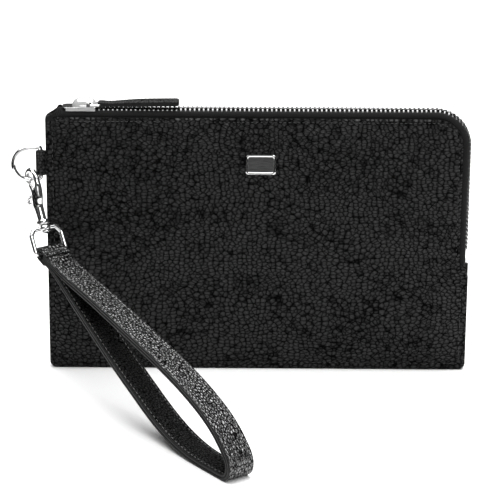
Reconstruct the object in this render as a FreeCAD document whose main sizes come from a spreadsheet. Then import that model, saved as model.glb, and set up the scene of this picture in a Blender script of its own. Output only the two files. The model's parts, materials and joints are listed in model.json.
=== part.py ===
"""Wristlet wallet: a flat zip-round leather wallet that stands on its bottom edge, with a ring
tab on its left side that carries a D-ring, a swivel snap hook and a looped wrist strap.

Frame: millimetres, +Z up, +X along the wallet's width, the front face towards -Y. The origin is
the middle of the bottom edge that the wallet stands on.
"""
import os
import re
from math import cos, pi, radians, sin, sqrt

import FreeCAD
import Part
import Sketcher
from FreeCAD import Placement, Rotation, Vector

# name of the size, its value in millimetres or degrees, and what it is
SIZES = [
    ("body_width", 240, "width of the sewn wallet"),
    ("panel_height", 150, "bottom edge to the leather's top edge"),
    ("leather", 2.0, "thickness of a panel, with its backing"),
    ("rim_half", 4.0, "half thickness at the sewn edges"),
    ("edge_half", 6.5, "half thickness at the zipped edges"),
    ("belly_half", 8.0, "half thickness in the middle"),
    ("rim_land", 11, "width of the slope behind a sewn edge"),
    ("belly_inset", 34, "where the flat middle starts behind a sewn edge"),
    ("crown_inset", 16, "where the flat middle starts behind a zipped edge"),
    ("seam_width", 6, "seam allowance of the sewn edges"),
    ("welt_half", 1.0, "half thickness of the welt between the panels"),
    ("bottom_radius", 4, "corner radius at the bottom"),
    ("lining_thick", 0.5, "lining cloth with its stiffener"),
    ("zip_inset", 5.5, "how far the side zip sets the leather back"),
    ("zip_corner", 16, "corner radius of the leather at the zip's corner"),
    ("zip_stop_height", 64, "height at which the zip ends on the right side"),
    ("tape_start", -119, "left end of the tapes"),
    ("tape_thick", 0.6, "zip tape"),
    ("tape_out", 4.6, "outer face of the tape"),
    ("tape_rise", 2.9, "tape's top above the leather's edge"),
    ("tape_under", 3.0, "tape sewn under the leather"),
    ("tape_slant", 6, "run of the tape's cut left end"),
    ("tooth_start", -104.8, "first tooth"),
    ("tooth_pitch", 2.54, "spacing of the teeth on one tape"),
    ("tooth_thick", 1.0, "tooth, along the zip"),
    ("tooth_base", 2.4, "tooth's root from the zip's middle"),
    ("tooth_tip", 0.35, "tooth's head from the zip's middle"),
    ("tooth_low", 2.0, "tooth's underside above the leather's edge"),
    ("tooth_high", 4.0, "tooth's top above the leather's edge"),
    ("slider_x", -100.8, "middle of the slider, closed"),
    ("slider_long", 18.4, "length of the slider"),
    ("slider_half", 4.5, "half width of the upper wing"),
    ("wing_gap", 1.1, "wing's face from the middle of the teeth"),
    ("wing_thick", 1.1, "thickness of a wing"),
    ("cap_x", 2.1, "middle of the domed cap from the slider's middle"),
    ("cap_long_half", 7.1, "half length of the cap"),
    ("cap_half", 4.1, "half width of the cap"),
    ("cap_high", 5.2, "height of the cap over the wing"),
    ("eye_x", 6.0, "link's tunnel from the slider's middle"),
    ("eye_z", 3.4, "link's tunnel above the middle of the teeth"),
    ("eye_bore", 0.95, "radius of the link's tunnel"),
    ("link_wire", 0.6, "radius of the link's wire"),
    ("link_long", 5.5, "link, bar to bar"),
    ("link_half", 4.5, "half width of the link"),
    ("pull_long", 44.3, "leather pull from its bar to its end"),
    ("pull_near", 3.3, "half width of the pull at its fold"),
    ("pull_half", 4.75, "half width of the pull at its free end"),
    ("pull_fold", 1.4, "radius of the pull's fold round the link"),
    ("pull_thick", 2.4, "folded leather pull"),
    ("pull_rise", 1.8, "slope of the pull as it lies over the teeth"),
    ("bar_x", -123.2, "bar of the D-ring"),
    ("ring_height", 122, "height of the D-ring's middle"),
    ("ring_wire", 1.25, "radius of the D-ring's wire"),
    ("ring_half", 9.2, "half height of the D-ring, to its wire's middle"),
    ("ring_straight", 6.4, "straight part of the D-ring"),
    ("tab_half", 7.0, "half height of the ring tab"),
    ("tab_leather", 1.5, "leather of the ring tab"),
    ("tab_reach", 3.4, "how far the tab goes into the seam"),
    ("ring_turn", 15, "how far the D-ring is turned to the front"),
    ("hang_reach", 5.8, "where the hook hangs, from the ring's bar"),
    ("stem_lean", 20.4, "strap bar out from the hanging point, along the strap's bearing"),
    ("strap_bar_z", 75, "height of the strap bar"),
    ("hook_thick", 3.0, "thickness of the hook's bow"),
    ("hook_block", 5.0, "thickness of the hook's body"),
    ("bow_x", -1.0, "middle of the bow from the ring's wire, towards the gate"),
    ("bow_z", 0.3, "middle of the bow over the ring's wire"),
    ("bow_inner", 3.1, "inner radius of the bow"),
    ("bow_outer", 5.7, "outer radius of the bow"),
    ("pivot_x", 2.2, "gate's pivot towards the gate's side"),
    ("pivot_z", -9.4, "gate's pivot under the ring's wire"),
    ("pin_radius", 0.55, "gate's pin"),
    ("gate_half", 1.0, "half thickness of the gate"),
    ("slot_half", 1.15, "half width of the gate's slot"),
    ("stem_radius", 2.5, "stem under the hook's body"),
    ("stem_top", 16, "top of the stem, under the ring's wire"),
    ("collar_low", 27.4, "underside of the hook's collar, under the ring's wire"),
    ("collar_thick", 3.1, "collar"),
    ("collar_radius", 3.6, "collar"),
    ("rivet_radius", 1.5, "swivel rivet"),
    ("rivet_head", 2.7, "head of the swivel rivet"),
    ("eye_wire", 1.3, "radius of the strap eye's wire"),
    ("eye_half", 9.8, "half width of the strap eye, to its wire's middle"),
    ("eye_shoulder", 10.2, "where the strap eye starts to narrow, above its bar"),
    ("eye_top_half", 6.8, "half width of the strap eye's top"),
    ("strap_width", 16, "strap"),
    ("strap_thick", 3.6, "strap, both leathers and the filler"),
    ("strap_skived", 2.4, "each strap end where the keeper clamps it"),
    ("strap_heading", -53.7, "bearing of the strap from the hook"),
    ("keeper_pitch", -22, "slope of the keeper"),
    ("keeper_long", 6.5, "keeper from the bar to its end"),
    ("keeper_leather", 1.4, "leather of the keeper"),
    ("badge_width", 17, "plain framed plate"),
    ("badge_height", 11.5, "plain framed plate"),
    ("badge_thick", 1.2, "plain framed plate"),
    ("badge_z", 124, "height of the plate's middle"),
    ("fold_top_x", 0, "where the mouth's fold meets the top edge"),
    ("fold_gap", 0.1, "half gap along the mouth's fold"),
]
NAMES = {name for name, _, _ in SIZES}

doc = FreeCAD.newDocument("WristletWallet")
sheet = doc.addObject("Spreadsheet::Sheet", "Sizes")
for row, (name, number, meaning) in enumerate(SIZES, start=1):
    sheet.set("A%d" % row, meaning)
    sheet.set("B%d" % row, str(number))
    sheet.setAlias("B%d" % row, name)
doc.recompute()

parts = []


# ---------------------------------------------------------------- helpers

def linked(text):
    """An expression with each size's name pointing at the sheet."""
    return re.sub(r"[a-z_]+", lambda m: "Sizes." + m.group() if m.group() in NAMES else m.group(),
                  str(text))


def value(text):
    return float(sheet.evalExpression(linked(text)))


def bind(thing, **expressions):
    for prop, text in expressions.items():
        thing.setExpression(prop, linked(text))


def new_body(label):
    body = doc.addObject("PartDesign::Body", label)
    body.Label = label
    parts.append(body)
    return body


def new_feature(label, shape):
    """A soft or swept piece whose shape comes from the sheet's values."""
    feature = doc.addObject("Part::Feature", label)
    feature.Label = label
    feature.Shape = shape
    feature.Placement = Placement()
    parts.append(feature)
    return feature


def new_sketch(body, role, offset="0"):
    """A sketch on one of the body's own planes, moved along the plane's normal."""
    plane = next(f for f in body.Origin.OriginFeatures if f.Role == role)
    sketch = body.newObject("Sketcher::SketchObject", "Sketch")
    sketch.AttachmentSupport = [(plane, "")]
    sketch.MapMode = "FlatFace"
    sketch.setExpression("AttachmentOffset.Base.z", linked(offset))
    return sketch


def pin_point(sketch, geometry, point, corner):
    """Holds a point of the sketch at a pair of expressions."""
    for kind, text in zip(("DistanceX", "DistanceY"), corner):
        index = sketch.addConstraint(
            Sketcher.Constraint(kind, -1, 1, geometry, point, value(text)))
        sketch.setExpression("Constraints[%d]" % index, linked(text))


def add_polygon(sketch, corners):
    first = sketch.GeometryCount
    count = len(corners)
    points = [Vector(value(x), value(y), 0) for x, y in corners]
    for i in range(count):
        sketch.addGeometry(Part.LineSegment(points[i], points[(i + 1) % count]), False)
    for i in range(count):
        sketch.addConstraint(
            Sketcher.Constraint("Coincident", first + i, 2, first + (i + 1) % count, 1))
    for i, corner in enumerate(corners):
        pin_point(sketch, first + i, 1, corner)


def add_circle(sketch, x, y, radius):
    centre = Vector(value(x), value(y), 0)
    index = sketch.addGeometry(Part.Circle(centre, Vector(0, 0, 1), value(radius)), False)
    pin_point(sketch, index, 3, (x, y))
    held = sketch.addConstraint(Sketcher.Constraint("Radius", index, value(radius)))
    sketch.setExpression("Constraints[%d]" % held, linked(radius))


def extrude(body, kind, sketch, length, symmetric=False, reverse=False):
    """A Pad or a Pocket of the sketch; it must change the body's volume."""
    before = body.Shape.Volume if body.Tip else 0
    feature = body.newObject("PartDesign::" + kind, kind)
    feature.Profile = sketch
    feature.SideType = "Symmetric" if symmetric else "One side"
    feature.Reversed = reverse
    bind(feature, Length=length)
    doc.recompute()
    if abs(body.Shape.Volume - before) < 1e-3:
        raise RuntimeError("%s of %s changes nothing" % (kind, body.Label))
    return feature


def prism(body, role, corners, length, offset="0", symmetric=False, kind="Pad", reverse=False):
    sketch = new_sketch(body, role, offset)
    add_polygon(sketch, corners)
    return extrude(body, kind, sketch, length, symmetric, reverse)


def disc(body, role, x, y, radius, length, offset="0", symmetric=False, kind="Pad",
         reverse=False, bore=None):
    sketch = new_sketch(body, role, offset)
    add_circle(sketch, x, y, radius)
    if bore:
        add_circle(sketch, x, y, bore)
    return extrude(body, kind, sketch, length, symmetric, reverse)


def round_edges(body, radius, wanted):
    """Fillets the edges of the body's last feature that the test picks."""
    base = body.Tip
    names = ["Edge%d" % (i + 1) for i, edge in enumerate(base.Shape.Edges) if wanted(edge)]
    fillet = body.newObject("PartDesign::Fillet", "Fillet")
    fillet.Base = (base, names)
    bind(fillet, Radius=radius)
    doc.recompute()
    return fillet


def along(edge, axis):
    """True for a straight edge that runs along the axis."""
    if len(edge.Vertexes) != 2:
        return False
    run = edge.Vertexes[1].Point - edge.Vertexes[0].Point
    return run.Length > 1e-6 and abs(abs(run.normalize() * axis) - 1) < 1e-6


def wire_loop(body, corners, radius, role="XZ_Plane", profile_role="XY_Plane"):
    """A closed loop of round wire that starts at the origin, with rounded corners."""
    spine = new_sketch(body, role)
    add_polygon(spine, corners)
    profile = new_sketch(body, profile_role)
    add_circle(profile, "0", "0", radius)
    pipe = body.newObject("PartDesign::AdditivePipe", "Pipe")
    pipe.Profile = profile
    pipe.Spine = (spine, ["Edge%d" % (i + 1) for i in range(spine.GeometryCount)])
    pipe.Transition = "Round corner"
    doc.recompute()
    return pipe


def mirrored_y(shape):
    return shape.mirror(Vector(), Vector(0, 1, 0))


# ---------------------------------------------------------------- the leather body

WIDTH = value("body_width")
HEIGHT = value("panel_height")
SIDE = WIDTH / 2 - value("zip_inset")
CORNER = value("zip_corner")
STOP_Z = value("zip_stop_height")


def outline(y, sewn, zipped):
    """The panel's outline at depth y, set in from its sewn edges (left and bottom) and from its
    zipped edges (top and right)."""
    left, right = -WIDTH / 2 + sewn, SIDE - zipped
    low, high = sewn, HEIGHT - zipped
    soft = value("bottom_radius") + 0.35 * sewn
    radii = [soft, soft, max(CORNER - zipped, 4), 2 + 0.2 * max(zipped, 0)]
    corners = [(left, low), (right, low), (right, high), (left, high)]
    inward = [(1, 1), (-1, 1), (-1, -1), (1, -1)]
    arcs = []
    for i in range(4):
        (x, z), (sx, sz), r = corners[i], inward[i], radii[i]
        centre = Vector(x + sx * r, y, z + sz * r)
        from_z = i % 2 == 0
        start = Vector(0, 0, -sz * r) if not from_z else Vector(-sx * r, 0, 0)
        end = Vector(-sx * r, 0, 0) if not from_z else Vector(0, 0, -sz * r)
        middle = Vector(-sx * r / sqrt(2), 0, -sz * r / sqrt(2))
        arcs.append(Part.Arc(centre + start, centre + middle, centre + end).toShape())
    edges = []
    for i in range(4):
        edges.append(arcs[i])
        here, there = arcs[i].lastVertex().Point, arcs[(i + 1) % 4].firstVertex().Point
        edges.append(Part.LineSegment(here, there).toShape())
    return Part.Wire(edges)


def loft(levels):
    return Part.makeLoft([outline(*level) for level in levels], True, True)


def side_rim():
    """The sewn edge under the zip's lower end, which stands out from the panel's side."""
    rim, welt = value("rim_half"), value("welt_half")
    block = Part.makeBox(value("zip_inset") + 4, rim - welt, STOP_Z, Vector(SIDE - 4, -rim, 0))
    corner = [e for e in block.Edges
              if along(e, Vector(0, 1, 0)) and e.BoundBox.XMin > SIDE and e.BoundBox.ZMax < 1]
    return block.makeFillet(value("bottom_radius"), corner)


def panel():
    """One leather panel: a shallow tray with a thin rim at the sewn edges and an open lip at the
    zipped edges, which the zip tape passes under."""
    rim, edge, belly = value("rim_half"), value("edge_half"), value("belly_half")
    welt, wall, land = value("welt_half"), value("leather"), value("rim_land")
    flat, crown, seam = value("belly_inset"), value("crown_inset"), value("seam_width")
    hull = loft([(-welt, 0, 0), (-rim, 0, 0)])
    hull = hull.fuse(loft([(-rim, 0, 0), (-edge, land, 0.8), (-belly, flat, crown)]))
    step = wall - edge
    mouth = loft([(0, seam, -1), (step, land + 3, -1)])
    hollow = loft([(step - 0.01, land + 3, 2.5), (wall - belly, flat + 1, crown + 1)])
    shell = hull.cut(mouth).cut(hollow).fuse(side_rim())
    return shell.removeSplitter()


def lining():
    """Lining cloth inside a panel, clear of the leather."""
    step, wall, gap = value("leather") - value("edge_half"), value("leather"), 0.3
    tray = loft([(step - gap, value("rim_land") + 5, 4.5),
                 (wall - value("belly_half") + gap, value("belly_inset") + 3,
                  value("crown_inset") + 3)])
    inner = tray.copy()
    inner.translate(Vector(0, value("lining_thick"), 0))
    return tray.cut(inner).cut(panel())


# the mouth's fold: a straight line over the front panel, from the top edge to the zip's lower end
FOLD_TOP = Vector(value("fold_top_x"), 0, HEIGHT)
FOLD_END = Vector(WIDTH / 2, 0, STOP_Z + 2)
FOLD_RUN = (FOLD_END - FOLD_TOP).normalize()
FOLD_OUT = Vector(-FOLD_RUN.z, 0, FOLD_RUN.x)
FAR = 400


def beyond_fold(distance):
    """Everything more than a distance past the fold, on the side of the zip's corner."""
    turn = Rotation(FOLD_RUN, Vector(0, 1, 0), FOLD_OUT, "XZY")
    block = Part.makeBox(2 * FAR, FAR, FAR, Vector(-FAR, -FAR / 2, distance))
    block.Placement = Placement(FOLD_TOP, turn)
    return block


def split_at_fold(shape, distance=0.0):
    """The still part and the mouth's part of a front piece."""
    gap = value("fold_gap")
    still = shape.cut(beyond_fold(distance - gap))
    moving = shape.common(beyond_fold(distance + gap))
    return still, moving


def make_leather_body():
    front, back = panel(), mirrored_y(panel())
    still, mouth = split_at_fold(front)
    new_feature("front_panel", still)
    new_feature("front_panel_mouth", mouth)
    new_feature("back_panel", back)
    cloth = lining()
    still, mouth = split_at_fold(cloth)
    new_feature("front_lining", still)
    new_feature("front_lining_mouth", mouth)
    new_feature("back_lining", mirrored_y(cloth))


def make_welt():
    """The strip sewn between the panels at the left, bottom and lower right, with a notch where
    the ring tab comes out."""
    body = new_body("seam_welt")
    half, inner = "body_width / 2", "body_width / 2 - seam_width"
    notch_low, notch_high = "ring_height - tab_half - 0.1", "ring_height + tab_half + 0.1"
    notch = "-body_width / 2 + tab_reach + 0.1"
    prism(body, "XZ_Plane", [
        ("-body_width / 2", "0"), (half, "0"), (half, "zip_stop_height"),
        (inner, "zip_stop_height"), (inner, "seam_width"), ("-(%s)" % inner, "seam_width"),
        ("-(%s)" % inner, "panel_height - 1"), ("-body_width / 2", "panel_height - 1"),
        ("-body_width / 2", notch_high), (notch, notch_high), (notch, notch_low),
        ("-body_width / 2", notch_low)], "2 * welt_half", symmetric=True)
    round_edges(body, "bottom_radius",
                lambda e: along(e, Vector(0, 1, 0)) and e.BoundBox.ZMax < 0.1)


# ---------------------------------------------------------------- the zip

TOP_END = SIDE - CORNER
CORNER_Z = HEIGHT - CORNER


def sweep_round(profile_points, start_x):
    """Carries a profile, given as distance above the leather's edge and depth, along the top,
    round the corner and down the side to the zip's lower end."""
    top = [Vector(start_x, y, HEIGHT + q) for q, y in profile_points]
    face = Part.Face(Part.makePolygon(top + top[:1]))
    run = face.extrude(Vector(TOP_END - start_x, 0, 0))
    at_corner = face.copy()
    at_corner.translate(Vector(TOP_END - start_x, 0, 0))
    bend = at_corner.revolve(Vector(TOP_END, 0, CORNER_Z), Vector(0, 1, 0), 90)
    side = [Vector(SIDE + q, y, CORNER_Z) for q, y in profile_points]
    drop = Part.Face(Part.makePolygon(side + side[:1])).extrude(
        Vector(0, 0, STOP_Z + 0.2 - CORNER_Z))
    return run.fuse([bend, drop]).removeSplitter()


def tape():
    """The front tape: sewn flat under the leather's edge, up past it and in to the teeth."""
    out, thick = value("tape_out"), value("tape_thick")
    rise, under, base = value("tape_rise"), value("tape_under"), value("tooth_base") + 0.05
    lip = value("edge_half") - value("leather") - 0.1
    profile = [(-under, -lip), (-0.6, -lip), (0.6, -out), (rise, -out), (rise, -base),
               (rise - thick, -base), (rise - thick, -out + thick), (0.9, -out + thick),
               (-0.3, -lip + thick), (-under, -lip + thick)]
    strip = sweep_round(profile, value("tape_start"))
    slant = Part.Face(Part.makePolygon([
        Vector(value("tape_start"), -10, HEIGHT), Vector(value("tape_start") - 5, -10, HEIGHT + 20),
        Vector(value("tape_start") + value("tape_slant"), -10, HEIGHT + 20),
        Vector(value("tape_start") + value("tape_slant"), -10, HEIGHT + rise),
        Vector(value("tape_start"), -10, HEIGHT)])).extrude(Vector(0, 20, 0))
    pieces = strip.cut(slant).cut(panel()).Solids
    return max(pieces, key=lambda piece: piece.Volume)


def zip_place(run):
    """The place on the ridge at a distance along it from the first tooth, with the direction
    that points out of the ridge along local Z."""
    radius = CORNER + (value("tooth_low") + value("tooth_high")) / 2
    top_run = TOP_END - value("tooth_start")
    if run <= top_run:
        return Placement(Vector(value("tooth_start") + run, 0, HEIGHT), Rotation())
    turn = min((run - top_run) / radius, pi / 2)
    drop = run - top_run - turn * radius
    centre = Vector(TOP_END, 0, CORNER_Z)
    out = Vector(sin(turn), 0, cos(turn))
    place = centre + out * CORNER - Vector(0, 0, drop)
    return Placement(place, Rotation(Vector(0, 1, 0), turn * 180 / pi))


def tooth(side, length):
    """A tooth standing on one tape: a block with a narrowed head at the zip's middle."""
    base, tip = value("tooth_base"), value("tooth_tip")
    low, high = value("tooth_low"), value("tooth_high")
    block = Part.makeBox(length, base - tip, high - low, Vector(-length / 2, -base, low))
    rounded = [e for e in block.Edges if along(e, Vector(0, 0, 1)) and e.BoundBox.YMin > -1]
    block = block.makeChamfer(0.25, rounded)
    return block if side < 0 else mirrored_y(block)


def teeth(side):
    """All the teeth on one tape, each with its distance past the mouth's fold."""
    pitch, thick = value("tooth_pitch"), value("tooth_thick")
    radius = CORNER + (value("tooth_low") + value("tooth_high")) / 2
    total = (TOP_END - value("tooth_start")) + pi / 2 * radius + (CORNER_Z - STOP_Z - 4)
    shift = 0 if side < 0 else pitch / 2
    rows = []
    for i in range(int((total - shift) / pitch)):
        piece = tooth(side, thick)
        place = zip_place(i * pitch + shift)
        piece.Placement = place
        rows.append((piece, (place.Base - FOLD_TOP) * FOLD_OUT))
    return rows


def make_zip():
    front = tape()
    tooth_fold, tape_fold = 12, 7
    still, mouth = split_at_fold(front, tape_fold)
    new_feature("front_tape", still)
    new_feature("front_tape_mouth", mouth)
    new_feature("back_tape", mirrored_y(front))
    rows = teeth(-1)
    new_feature("front_teeth", Part.makeCompound([t for t, r in rows if r < tooth_fold]))
    new_feature("front_teeth_mouth", Part.makeCompound([t for t, r in rows if r >= tooth_fold]))
    new_feature("back_teeth", Part.makeCompound([t for t, r in teeth(1)]))

    stops = []
    for side in (-1, 1):
        stop = tooth(side, 1.9)
        stop.translate(Vector(value("slider_x") - value("slider_long") / 2 - 1.1, 0, HEIGHT))
        stops.append(stop)
    new_feature("top_stops", Part.makeCompound(stops))

    bottom = new_body("bottom_stop")
    prism(bottom, "XZ_Plane", [
        ("body_width / 2 - zip_inset + tooth_low", "zip_stop_height + 0.4"),
        ("body_width / 2 - zip_inset + tooth_high", "zip_stop_height + 0.4"),
        ("body_width / 2 - zip_inset + tooth_high", "zip_stop_height + 3.0"),
        ("body_width / 2 - zip_inset + tooth_low", "zip_stop_height + 3.0")],
        "2 * tooth_base", symmetric=True)
    round_edges(bottom, "0.4", lambda e: along(e, Vector(0, 0, 1)))


# ---------------------------------------------------------------- slider and pull

SLIDER_AT = Vector(value("slider_x"), 0,
                   HEIGHT + value("(tooth_low + tooth_high) / 2"))
LINK_AT = SLIDER_AT + Vector(value("eye_x"), 0, value("eye_z"))
PULL_AT = LINK_AT + Vector(value("link_long"), 0, 0)


def make_slider():
    body = new_body("slider_body")
    half, end = "slider_half", "slider_long / 2"
    prism(body, "XY_Plane", [
        ("-(%s)" % end, "-slider_half + 1.2"), ("-(%s) + 1.5" % end, "-slider_half"),
        ("0", "-slider_half"), (end, "-slider_half + 0.6"), (end, "slider_half - 0.6"),
        ("0", half), ("-(%s) + 1.5" % end, half), ("-(%s)" % end, "slider_half - 1.2")],
        "wing_thick", offset="wing_gap")
    for side in ("-1", "1"):
        near, far = side + " * (slider_half - 1.3)", side + " * (slider_half - 0.6)"
        nose = "-(%s) + 1.5" % end
        prism(body, "XY_Plane", [(nose, near), (end, near), (end, far), (nose, far)],
              "0.6", offset="wing_gap", reverse=True)
    prism(body, "XY_Plane", [
        ("-(%s) + 1.2" % end, "-0.22"), ("-2.6", "-0.22"), ("-2.6", "0.22"),
        ("-(%s) + 1.2" % end, "0.22")], "2 * wing_gap + 0.5", offset="-wing_gap - 0.5")
    prism(body, "XY_Plane", [
        ("-(%s) + 0.6" % end, "-2.6"), ("-(%s) + 2" % end, "-3.6"), (end, "-3.2"), (end, "3.2"),
        ("-(%s) + 2" % end, "3.6"), ("-(%s) + 0.6" % end, "2.6")],
        "wing_thick", offset="-wing_gap", reverse=True)
    body.Placement = Placement(SLIDER_AT, Rotation())

    cap = new_body("slider_cap")
    dome = cap.newObject("PartDesign::AdditiveEllipsoid", "Dome")
    bind(dome, Radius1="cap_high", Radius2="cap_long_half", Radius3="cap_half", Angle1="0",
         Angle2="90", Angle3="360")
    doc.recompute()
    top_x, top_z = "cap_x", "(wing_gap + wing_thick)"
    disc(cap, "XZ_Plane", "eye_x - " + top_x, "eye_z - " + top_z, "eye_bore", "3 * cap_half",
         symmetric=True, kind="Pocket")
    cap.Placement = Placement(SLIDER_AT + Vector(value(top_x), 0, value(top_z)), Rotation())


def make_pull():
    link = new_body("puller_link")
    wire_loop(link, [
        ("0", "0"), ("0", "link_half"), ("link_long", "link_half"),
        ("link_long", "-link_half"), ("0", "-link_half")],
        "link_wire", role="XY_Plane", profile_role="XZ_Plane")
    link.Placement = Placement(LINK_AT, Rotation())

    tab = new_body("pull_tab")
    disc(tab, "XZ_Plane", "0", "0", "pull_fold", "2 * pull_near", symmetric=True)
    prism(tab, "XY_Plane", [
        ("0", "-pull_near"), ("pull_long", "-pull_half"), ("pull_long", "pull_half"),
        ("0", "pull_near")], "pull_thick", symmetric=True)
    disc(tab, "XZ_Plane", "0", "0", "link_wire + 0.08", "3 * pull_half", symmetric=True,
         kind="Pocket")
    round_edges(tab, "1.6", lambda e: along(e, Vector(0, 0, 1)) and e.BoundBox.XMin > 20)
    tab.Placement = Placement(PULL_AT, Rotation(Vector(0, 1, 0), -value("pull_rise")))


# ---------------------------------------------------------------- ring tab and D-ring

def make_ring():
    """The leather tab folded round the D-ring's bar and sewn into the left seam, and the ring."""
    tab = new_body("ring_tab")
    fold = "ring_wire + 0.08 + tab_leather"
    disc(tab, "XY_Plane", "0", "0", fold, "2 * tab_half", symmetric=True)
    edge = "(-body_width / 2 - bar_x)"
    prism(tab, "XY_Plane", [
        ("0", "-(%s)" % fold), (edge + " - 0.15", "-welt_half"),
        (edge + " + tab_reach", "-welt_half"), (edge + " + tab_reach", "welt_half"),
        (edge + " - 0.15", "welt_half"), ("0", fold)], "2 * tab_half", symmetric=True)
    disc(tab, "XY_Plane", "0", "0", "ring_wire + 0.08", "3 * tab_half", symmetric=True,
         kind="Pocket")
    at_bar = Placement(Vector(value("bar_x"), 0, value("ring_height")), Rotation())
    tab.Placement = at_bar

    ring = new_body("d_ring")
    spine = new_sketch(ring, "XZ_Plane")
    corners = [("0", "0"), ("0", "ring_half"), ("-ring_straight", "ring_half"),
               ("-ring_straight", "-ring_half"), ("0", "-ring_half")]
    points = [Vector(value(x), value(y), 0) for x, y in corners]
    for i in (0, 1, 3, 4):
        spine.addGeometry(Part.LineSegment(points[i], points[(i + 1) % 5]), False)
    centre = Vector(-value("ring_straight"), 0, 0)
    circle = Part.Circle(centre, Vector(0, 0, 1), value("ring_half"))
    spine.addGeometry(Part.ArcOfCircle(circle, pi / 2, 3 * pi / 2), False)
    for one, end, other, start in ((0, 2, 1, 1), (1, 2, 4, 1), (4, 2, 2, 1), (2, 2, 3, 1),
                                   (3, 2, 0, 1)):
        spine.addConstraint(Sketcher.Constraint("Coincident", one, end, other, start))
    for geometry, corner in zip((0, 1, 2, 3), (corners[0], corners[1], corners[3], corners[4])):
        pin_point(spine, geometry, 1, corner)
    pin_point(spine, 4, 3, ("-ring_straight", "0"))
    profile = new_sketch(ring, "XY_Plane")
    add_circle(profile, "0", "0", "ring_wire")
    pipe = ring.newObject("PartDesign::AdditivePipe", "Pipe")
    pipe.Profile = profile
    pipe.Spine = (spine, ["Edge%d" % (i + 1) for i in range(spine.GeometryCount)])
    pipe.Transition = "Round corner"
    doc.recompute()
    ring.Placement = Placement(at_bar.Base, Rotation(Vector(0, 0, 1), value("ring_turn")))


# ---------------------------------------------------------------- snap hook

RING_TURN = radians(value("ring_turn"))
HEADING = radians(value("strap_heading"))
STRAP_OUT = Vector(cos(HEADING), sin(HEADING), 0)
HANG = Vector(value("bar_x"), 0, value("ring_height - ring_half")) \
    - Vector(cos(RING_TURN), sin(RING_TURN), 0) * value("hang_reach")
STRAP_BAR = Vector(HANG.x, HANG.y, value("strap_bar_z")) + STRAP_OUT * value("stem_lean")
STEM_UP = (HANG - STRAP_BAR).normalize()
STEM_LONG = (HANG - STRAP_BAR).Length
GATE_SIDE = Vector(-0.6, 0.8, 0)


def square_to(axis, hint):
    """The hint's direction, made square to the axis."""
    return (hint - axis * (hint * axis)).normalize()


HOOK_TURN = Rotation(square_to(STEM_UP, GATE_SIDE), Vector(), STEM_UP, "ZXY")
BAR_RUN = square_to(STEM_UP, Vector(-STRAP_OUT.y, STRAP_OUT.x, 0))
EYE_TURN = Rotation(BAR_RUN, Vector(), STEM_UP, "ZXY")


def make_hook():
    at_ring = Placement(HANG, HOOK_TURN)
    body = new_body("hook_body")
    disc(body, "XZ_Plane", "bow_x", "bow_z", "bow_outer", "hook_thick", symmetric=True,
         bore="bow_inner")
    prism(body, "XZ_Plane", [
        ("-1.6", "-1.7"), ("8", "-1.7"), ("8", "-8"), ("-1.6", "-8")], "2 * hook_thick",
        symmetric=True, kind="Pocket")
    round_edges(body, "0.9", lambda e: e.BoundBox.XLength > 3 and e.BoundBox.YLength < 0.1)
    prism(body, "XZ_Plane", [
        ("-6.6", "0.2"), ("-4.2", "0.2"), ("-4.3", "-6.4"), ("-7.2", "-7.4"), ("-7.3", "-3.6")],
        "hook_thick - 0.4", symmetric=True)
    prism(body, "XZ_Plane", [
        ("-6.9", "-6.2"), ("-2.0", "-5.6"), ("2.0", "-7.2"), ("3.6", "-10.6"), ("2.9", "-16.2"),
        ("-3.3", "-16.2"), ("-4.6", "-13.2"), ("-6.9", "-9.4")], "hook_block", symmetric=True)
    prism(body, "XZ_Plane", [
        ("-0.9", "-5"), ("9", "-5"), ("9", "-13.4"), ("-0.9", "-13.4")], "2 * slot_half",
        symmetric=True, kind="Pocket")
    disc(body, "XZ_Plane", "pivot_x", "pivot_z", "pin_radius", "2 * hook_block", symmetric=True,
         kind="Pocket")
    disc(body, "XY_Plane", "0", "0", "stem_radius", "collar_low - stem_top", offset="-stem_top",
         reverse=True)
    disc(body, "XY_Plane", "0", "0", "collar_radius", "collar_thick",
         offset="-collar_low + collar_thick", reverse=True)
    disc(body, "XY_Plane", "0", "0", "rivet_radius", "collar_thick - 0.6", offset="-collar_low",
         kind="Pocket", reverse=True)
    body.Placement = at_ring

    pin = new_body("gate_pin")
    disc(pin, "XZ_Plane", "pivot_x", "pivot_z", "pin_radius", "hook_block", symmetric=True)
    pin.Placement = at_ring

    spring = new_body("gate_spring")
    disc(spring, "XZ_Plane", "pivot_x", "pivot_z", "pin_radius + 0.65", "0.75",
         offset="0.3", bore="pin_radius + 0.02")
    spring.Placement = at_ring

    rivet = new_body("swivel_rivet")
    disc(rivet, "XY_Plane", "0", "0", "rivet_radius", "collar_thick - 0.6 + 3.3",
         offset="-collar_low + collar_thick - 0.6", reverse=True)
    disc(rivet, "XY_Plane", "0", "0", "rivet_head", "1.3", offset="-collar_low - 3.3",
         reverse=True)
    rivet.Placement = at_ring

    gate = new_body("hook_gate")
    prism(gate, "XZ_Plane", [
        ("0.3", "-8.4"), ("0.5", "-6.6"), ("1.6", "-2.0"), ("3.4", "-2.0"), ("2.6", "-6.6"),
        ("3.8", "-7.9"), ("6.6", "-9.0"), ("10.2", "-10.0"), ("10.4", "-11.0"),
        ("7.0", "-15.6"), ("6.1", "-15.0"), ("8.2", "-11.6"), ("5.6", "-11.0"),
        ("2.9", "-10.9"), ("1.0", "-10.5")], "2 * gate_half", symmetric=True)
    disc(gate, "XZ_Plane", "pivot_x", "pivot_z", "pin_radius + 1.0", "2 * gate_half",
         offset="0.2", kind="Pocket", reverse=True)
    disc(gate, "XZ_Plane", "pivot_x", "pivot_z", "pin_radius + 0.07", "4 * gate_half",
         symmetric=True, kind="Pocket")
    gate.Placement = at_ring


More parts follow.
